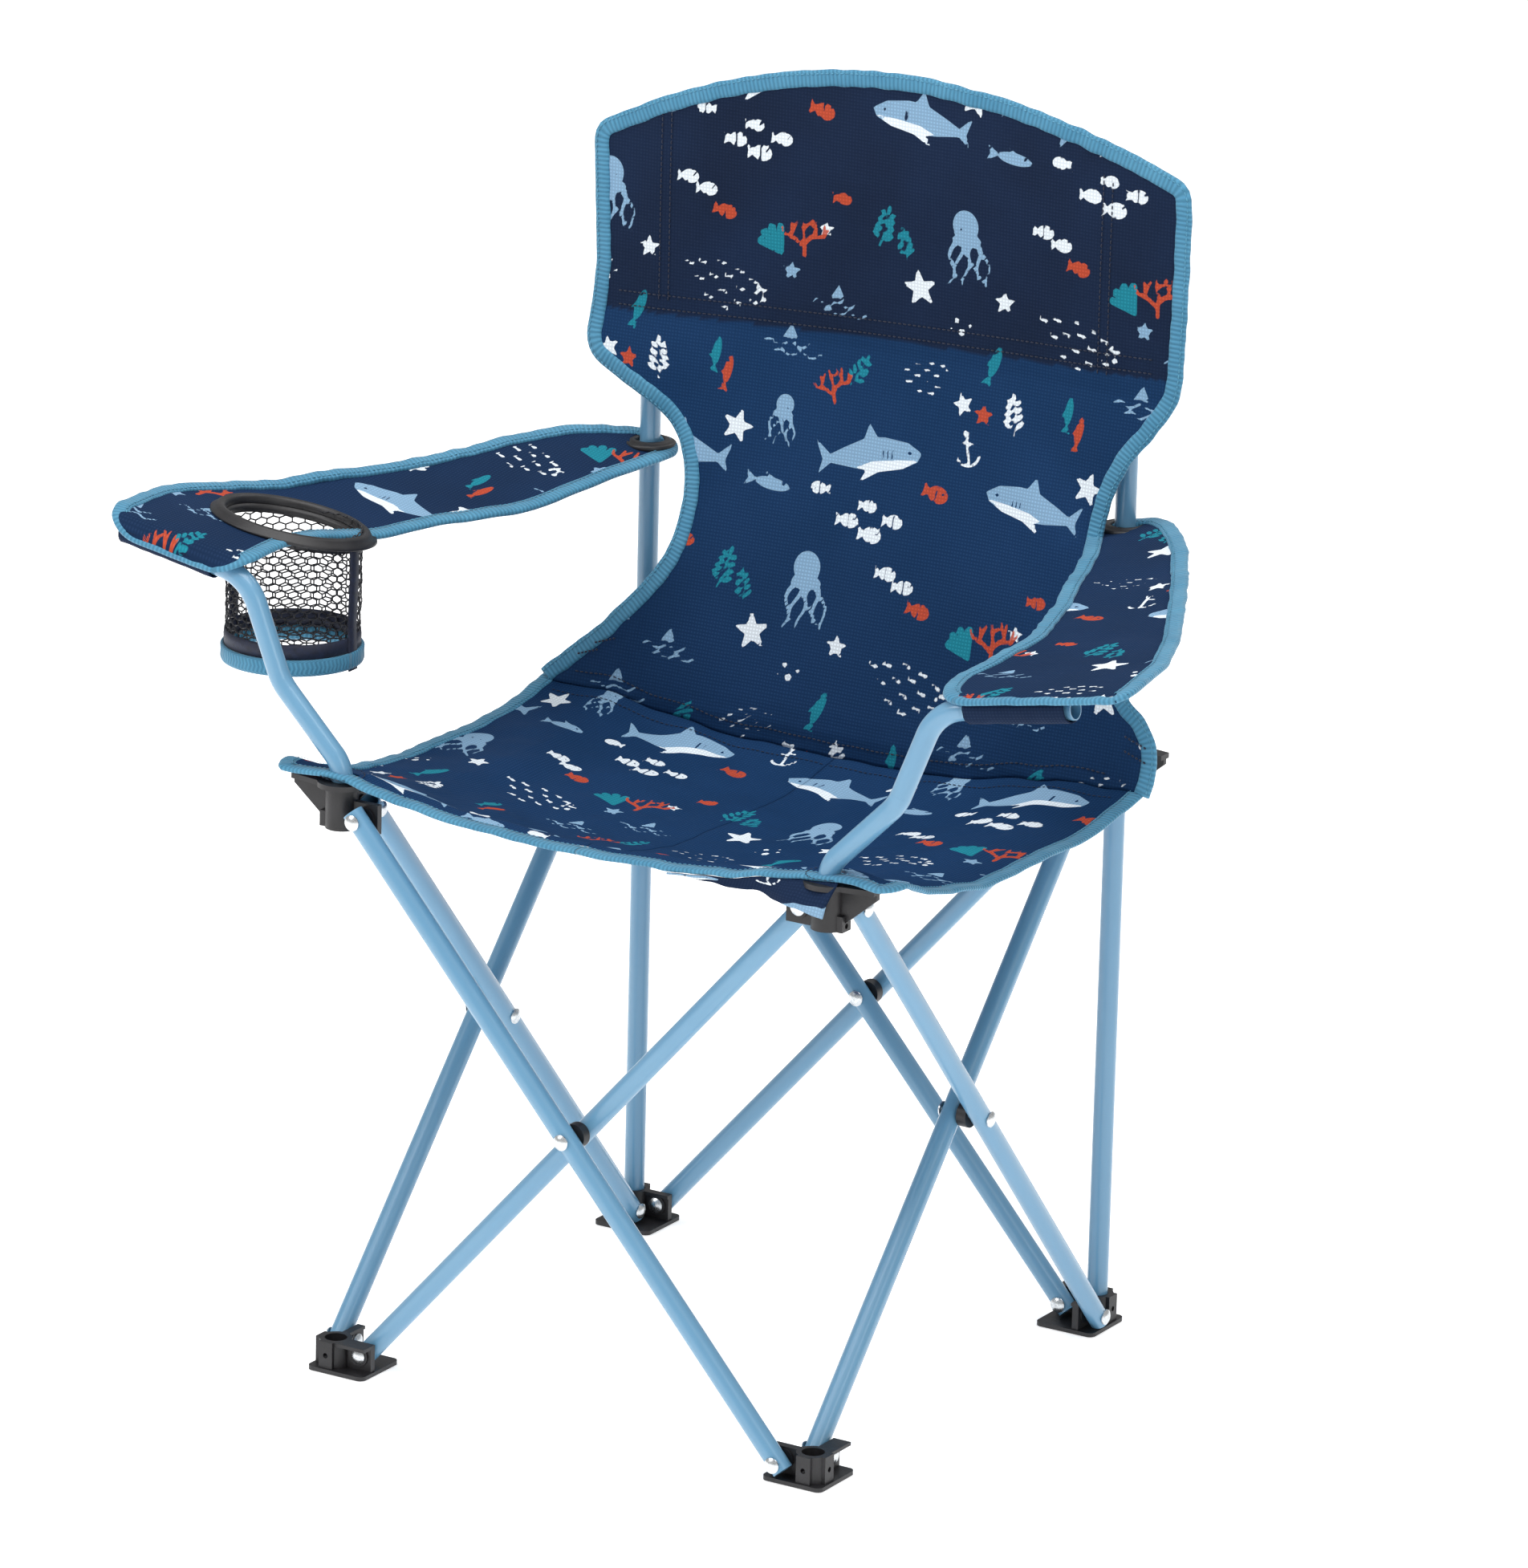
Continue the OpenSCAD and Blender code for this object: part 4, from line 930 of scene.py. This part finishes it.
def arm_sleeve(side):
    """The cloth pocket under the armrest's front, round the post's end."""
    word = "left" if side < 0 else "right"
    run, lean = np.linspace(4, 66, 32), math.radians(80)
    ax = np.array([side * math.sin(lean), 0, math.cos(lean)])
    start = np.array([side * REST[0], -CORNER, REST[1]])
    up = np.cross(np.array([0, 1.0, 0]), ax) * side
    up = up if up[2] > 0 else -up
    verts, uvs, m = [], [], 20
    for k, s in enumerate(run):
        for i in range(m):
            a = 2 * math.pi * i / m
            r = 7.6 + 0.5 * crease(s, i * 6, 3 + side, 0.12) + (0.8 if math.sin(a) > 0.2 else 0)
            ring = np.array([0, 1, 0]) * math.cos(a) * 1.12 + up * math.sin(a) * 0.9
            verts.append(start + ax * s + r * ring)
            uvs.append((s, i * 2.6))
    faces = [(k * m + i, k * m + (i + 1) % m, (k + 1) * m + (i + 1) % m, (k + 1) * m + i)
             for k in range(len(run) - 1) for i in range(m)]
    o = mesh_object(f"armrest_sleeve_{word}", verts, faces, uvs, ["print"])
    dye(o, np.zeros((len(verts), 4)), np.full(len(verts), 0.1))
    face_out(o)
    thicken(o, 0.7, 1.0)
    return o


# ------------------------------------------------------------- cup holder

def turned(name, profile, centre, kind, steps=72):
    """A ring spun from its section, radius and height in millimetres, about an upright axis."""
    bpy.ops.object.select_all(action="DESELECT")
    bpy.ops.mesh.primitive_circle_add(vertices=len(profile), radius=profile[0][0] * MM)
    o = bpy.context.object
    o.name = name
    middle = Vector(centre) * MM
    for v, (r, h) in zip(o.data.vertices, profile):
        v.co = middle + Vector((r, 0, h)) * MM
    bpy.ops.object.mode_set(mode="EDIT")
    bpy.ops.mesh.select_all(action="SELECT")
    bpy.ops.mesh.spin(steps=steps, angle=2 * math.pi, center=middle, axis=(0, 0, 1))
    bpy.ops.mesh.select_all(action="SELECT")
    bpy.ops.mesh.remove_doubles(threshold=0.00001)
    bpy.ops.mesh.normals_make_consistent(inside=False)
    bpy.ops.object.mode_set(mode="OBJECT")
    bpy.ops.object.shade_smooth()
    o.data.materials.append(finish(kind))
    for layer in list(o.data.uv_layers):
        o.data.uv_layers.remove(layer)
    layer = o.data.uv_layers.new(name="cloth")
    for loop in o.data.loops:
        p = o.data.vertices[loop.vertex_index].co - middle
        layer.data[loop.index].uv = (math.hypot(p.x, p.y) * (math.atan2(p.y, p.x) % (2 * math.pi)), p.z * 2)
    return o


def net(name, centre, rows, around, depth):
    """Knotted hexagon net, hung as a cup with its floor, as thin cords."""
    verts, index, edges = [], {}, set()

    def point(i, j):
        key = (i % (2 * around), j)
        if key not in index:
            a = 2 * math.pi * key[0] / (2 * around)
            h = (j * 1.5 + (0.25 if (i + j) % 2 else -0.25)) * depth / (rows * 1.5)
            t = min(max(h / depth, 0), 1)
            sag = 1.0 + 0.02 * math.sin(3 * a + 1) * math.sin(math.pi * t)
            r = (37.2 + 1.2 * t) * sag + 0.8 * crease(a * 20, h, 2.0, 0.2)
            index[key] = len(verts)
            verts.append((centre[0] + r * math.cos(a), centre[1] + r * math.sin(a), centre[2] - depth + h))
        return index[key]

    for j in range(rows + 1):
        for i in range(2 * around):
            edges.add(tuple(sorted((point(i, j), point(i + 1, j)))))
            if (i + j) % 2 and j < rows:
                edges.add(tuple(sorted((point(i, j), point(i, j + 1)))))
    pitch = 5.2
    base = {}

    def floor(i, j):
        if (i, j) not in base:
            x = i * pitch * 0.866
            y = (j * 1.5 + (0.25 if (i + j) % 2 else -0.25)) * pitch * 0.8
            base[(i, j)] = (x, y) if math.hypot(x, y) < 37.5 else None
        return base[(i, j)]

    placed = {}
    for j in range(-8, 9):
        for i in range(-9, 10):
            for di, dj in ((1, 0), (0, 1)):
                if dj and not (i + j) % 2:
                    continue
                a, b = floor(i, j), floor(i + di, j + dj)
                if a and b:
                    for q in (a, b):
                        if q not in placed:
                            placed[q] = len(verts)
                            dip = 3.0 * (1 - (math.hypot(*q) / 38) ** 2)
                            verts.append((centre[0] + q[0], centre[1] + q[1], centre[2] - depth + 1.2 - dip))
                    edges.add(tuple(sorted((placed[a], placed[b]))))
    pts = np.array(verts, float)
    out_v, out_f = [], []
    for a, b in sorted(edges):
        p, q = pts[a], pts[b]
        t = (q - p) / max(np.linalg.norm(q - p), 1e-9)
        side = np.cross(t, (0.3, 0.2, 1.0))
        side /= max(np.linalg.norm(side), 1e-9)
        up = np.cross(side, t)
        k = len(out_v)
        for end in (p, q):
            for ang in (90, 210, 330):
                c, s = math.cos(math.radians(ang)), math.sin(math.radians(ang))
                out_v.append(end + 0.5 * (side * c + up * s))
        out_f += [(k, k + 1, k + 4, k + 3), (k + 1, k + 2, k + 5, k + 4), (k + 2, k, k + 3, k + 5),
                  (k + 2, k + 1, k),
                  (k + 3, k + 4, k + 5)]
    return mesh_object(name, out_v, out_f, [(0, 0)] * len(out_v), ["net"])


def tilt_rim(o):
    """Lays a ring on the plane that the cloth takes at the cup."""
    for v in o.data.vertices:
        x, y = v.co.x / MM, v.co.y / MM
        v.co.z += (cup_plane(x, y) - cup_plane(*CUP)) * MM
    o.data.update()


def build_cup():
    depth = look("basket_depth") / MM
    centre = (*CUP, CUP_RIM_Z)
    bead = [(38.0, 0.2), (39.0, -0.6), (45.4, -0.4), (47.0, 0.6), (46.6, 1.9), (44.2, 2.6), (43.2, 4.6),
            (41.4, 5.7), (39.4, 5.4), (38.2, 3.8)]
    rim = turned("cup_holder_rim", bead, centre, "nylon", 96)
    lip = [(37.0, -4.0), (38.6, -4.0), (38.6, 0.4), (37.6, 0.8)]
    skirt = turned("cup_holder_skirt", lip, centre, "nylon")
    tilt_rim(rim)
    tilt_rim(skirt)
    basket = net("cup_holder_net", (*CUP, CUP_RIM_Z - 1.0), 18, 33, depth - 5.0)
    hem = [(37.2, 0.2), (38.2, -0.9), (40.0, -0.6), (40.6, 1.0), (40.4, 4.0), (40.6, 7.6), (39.8, 8.8),
           (38.4, 8.6), (37.8, 4.2)]
    ring = turned("cup_holder_hem", hem, (*CUP, CUP_RIM_Z - depth), "tape", 96)
    upper = [(37.7, 0.0), (38.6, -0.2), (38.8, 6.0), (38.4, 9.4), (37.8, 9.2), (37.9, 4.0)]
    band = turned("cup_holder_band", upper, (*CUP, CUP_RIM_Z - depth + 8.0), "thread")
    flat = [(-4.5, 0.0), (-4.2, 0.6), (4.2, 0.6), (4.5, 0.0), (4.2, -0.5), (-4.2, -0.5)]
    straps = []
    for k, ang in enumerate((4.0, 184.0)):
        a = math.radians(ang)
        drop = np.linspace(0, 76, 26)
        reach = 38.9 + 0.5 * np.sin(drop * 0.09)
        pts = np.stack([CUP[0] + reach * math.cos(a), CUP[1] + reach * math.sin(a),
                        CUP_RIM_Z - 2.0 - drop], 1)
        straps.append(ribbon(f"cup_holder_strap_{k + 1}", pts, False,
                             [(math.cos(a), math.sin(a), 0)] * len(pts), section=flat, kind="thread",
                             pucker=0.3, seed=9.0 + k))
    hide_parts("cup_rim")
    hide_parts("cup_basket")
    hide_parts("cup_basket_hem")
    for piece in (rim, skirt, basket, ring, band, *straps):
        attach(piece, "front_left_hub")


def build_eyelets():
    ring = [(8.0, -1.6), (9.0, -2.6), (13.6, -2.4), (15.0, -1.2), (15.0, 0.8), (13.8, 1.6), (12.4, 1.4),
            (11.6, 2.4), (9.6, 2.7), (8.2, 1.7)]
    z = ARM_Z + (CORNER - REST[0]) * ARM_SLOPE + 2 * CORNER * ARM_RISE + 1.2
    for side, word in ((-1, "left"), (1, "right")):
        o = turned(f"armrest_grommet_{word}", ring, (side * CORNER, CORNER, z), "nylon", 60)
        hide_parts(f"eyelet_{word}")
        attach(o, f"rear_{word}_hub")


# ---------------------------------------------------------- frame and stage

def dress_frame():
    """The hard CAD nodes keep their shape and take their finishes."""
    for name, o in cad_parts.items():
        if o.hide_render:
            continue
        if "rivet" in name:
            kind, place = "zinc", "rivet"
        elif "tube" in name or name.rpartition("_")[0] in ("back_post", "arm_post"):
            kind, place = "tube", "tube"
        else:
            kind, place = "nylon", "plastic"
        o.data.materials.clear()
        o.data.materials.append(finish(kind))
        solo(o)
        bpy.ops.object.shade_smooth_by_angle(angle=math.radians(35))


def build_stage():
    bpy.ops.object.select_all(action="DESELECT")
    bpy.ops.mesh.primitive_plane_add(size=60, location=(0, 0, -0.0005))
    floor = bpy.context.object
    floor.name = "floor"
    floor.data.materials.append(finish("floor"))
    world = bpy.data.worlds.new("soft_studio")
    bpy.context.scene.world = world
    world.use_nodes = True
    back = world.node_tree.nodes["Background"]
    back.inputs["Color"].default_value = (1, 1, 1, 1)
    back.inputs["Strength"].default_value = look("world_light")
    for name, place, aim, size, power in (
            ("overhead", (0.2, -0.5, 3.2), (0, 0, 0.35), 2.6, 74.0),
            ("key", (-1.9, -2.6, 2.6), (0, 0, 0.35), 1.4, 44.0),
            ("fill", (3.0, -1.6, 1.8), (0, 0, 0.35), 1.6, 18.0),
            ("rim", (0.8, 2.6, 2.6), (0, 0, 0.4), 1.4, 18.0)):
        data = bpy.data.lights.new(name, "AREA")
        data.size = size
        data.energy = power
        lamp = bpy.data.objects.new(name, data)
        bpy.context.scene.collection.objects.link(lamp)
        lamp.location = place
        lamp.rotation_euler = (Vector(aim) - Vector(place)).to_track_quat("-Z", "Y").to_euler()
    cam_data = bpy.data.cameras.new("camera")
    cam = bpy.data.objects.new("camera", cam_data)
    bpy.context.scene.collection.objects.link(cam)
    forward = Vector((-0.4963, 0.8192, -0.2874)).normalized()
    roll = math.radians(look("camera_roll"))
    right = forward.cross(Vector((0, 0, 1))).normalized()
    up = right.cross(forward)
    r2 = right * math.cos(roll) + up * math.sin(roll)
    u2 = up * math.cos(roll) - right * math.sin(roll)
    m = Matrix((r2, u2, -forward)).transposed().to_4x4()
    m.translation = Vector((2.5705, -4.2244, 1.8164))
    cam.matrix_world = m
    cam_data.sensor_width = 36.0
    cam_data.lens = 212.384
    cam_data.shift_x = 0.0088
    cam_data.shift_y = 0.0001
    cam_data.clip_end = 100
    bpy.context.scene.camera = cam
    bpy.context.scene.view_settings.view_transform = "Standard"


# ---------------------------------------------------------------- add-on

class ChairLook(bpy.types.PropertyGroup):
    tube_colour: bpy.props.StringProperty(
        name="Tube colour", description="Powder coat, sRGB hex", default="#5d91b3")
    tape_colour: bpy.props.StringProperty(
        name="Tape colour", description="Binding tape, sRGB hex", default="#3b7fa1")
    navy: bpy.props.StringProperty(
        name="Navy", description="Darkest ground of the print, sRGB hex", default="#111e35")
    blue: bpy.props.StringProperty(
        name="Blue", description="Lightest ground of the print, sRGB hex", default="#0f3156")
    cloth_thickness: bpy.props.FloatProperty(
        name="Cloth thickness", description="Seat and back cloth", default=0.0008, min=0.0002, unit="LENGTH")
    basket_depth: bpy.props.FloatProperty(
        name="Basket depth", description="Cup holder, rim to foot", default=0.076, min=0.04, unit="LENGTH")
    world_light: bpy.props.FloatProperty(
        name="World light", description="Strength of the even light", default=0.42, min=0)
    camera_roll: bpy.props.FloatProperty(
        name="Camera roll", description="Turn about the view axis, in degrees", default=1.41)


def look(name):
    """A value from the panel."""
    return getattr(bpy.context.scene.chair_look, name)


class CHAIR_OT_seat(bpy.types.Operator):
    """Builds the seat's cloth, tape and stitching"""
    bl_idname = "chair.seat"
    bl_label = "Seat"

    def execute(self, context):
        build_seat()
        return {"FINISHED"}


class CHAIR_OT_back(bpy.types.Operator):
    """Builds the back's cloth, pocket band, tape and stitching"""
    bl_idname = "chair.back"
    bl_label = "Back"

    def execute(self, context):
        build_back()
        return {"FINISHED"}


class CHAIR_OT_armrests(bpy.types.Operator):
    """Builds both armrests with their tape, sleeves and grommets"""
    bl_idname = "chair.armrests"
    bl_label = "Armrests"

    def execute(self, context):
        build_arm(1)
        build_arm(-1)
        build_eyelets()
        return {"FINISHED"}


class CHAIR_OT_cup_holder(bpy.types.Operator):
    """Builds the cup holder's rim, net and bound foot"""
    bl_idname = "chair.cup_holder"
    bl_label = "Cup holder"

    def execute(self, context):
        build_cup()
        return {"FINISHED"}


class CHAIR_OT_frame(bpy.types.Operator):
    """Gives the tubes, mouldings and rivets their finishes"""
    bl_idname = "chair.frame"
    bl_label = "Frame finishes"

    def execute(self, context):
        dress_frame()
        return {"FINISHED"}


class CHAIR_OT_stage(bpy.types.Operator):
    """Builds the floor, lights and camera"""
    bl_idname = "chair.stage"
    bl_label = "Stage"

    def execute(self, context):
        build_stage()
        return {"FINISHED"}


class CHAIR_PT_panel(bpy.types.Panel):
    """Lists the chair's parts"""
    bl_label = "Camp chair"
    bl_idname = "CHAIR_PT_panel"
    bl_space_type = "VIEW_3D"
    bl_region_type = "UI"
    bl_category = "Camp chair"

    def draw(self, context):
        for op in STEPS:
            self.layout.operator(op.bl_idname)
        for prop in ChairLook.__annotations__:
            self.layout.prop(context.scene.chair_look, prop)


STEPS = (CHAIR_OT_stage, CHAIR_OT_seat, CHAIR_OT_back, CHAIR_OT_armrests, CHAIR_OT_cup_holder, CHAIR_OT_frame)
CLASSES = (ChairLook, *STEPS, CHAIR_PT_panel)


def register():
    for c in CLASSES:
        bpy.utils.register_class(c)
    bpy.types.Scene.chair_look = bpy.props.PointerProperty(type=ChairLook)


def unregister():
    del bpy.types.Scene.chair_look
    for c in reversed(CLASSES):
        bpy.utils.unregister_class(c)


def main():
    register()
    bpy.ops.chair.stage()
    bpy.ops.chair.seat()
    bpy.ops.chair.back()
    bpy.ops.chair.armrests()
    bpy.ops.chair.cup_holder()
    bpy.ops.chair.frame()


if __name__ == "__main__":
    main()
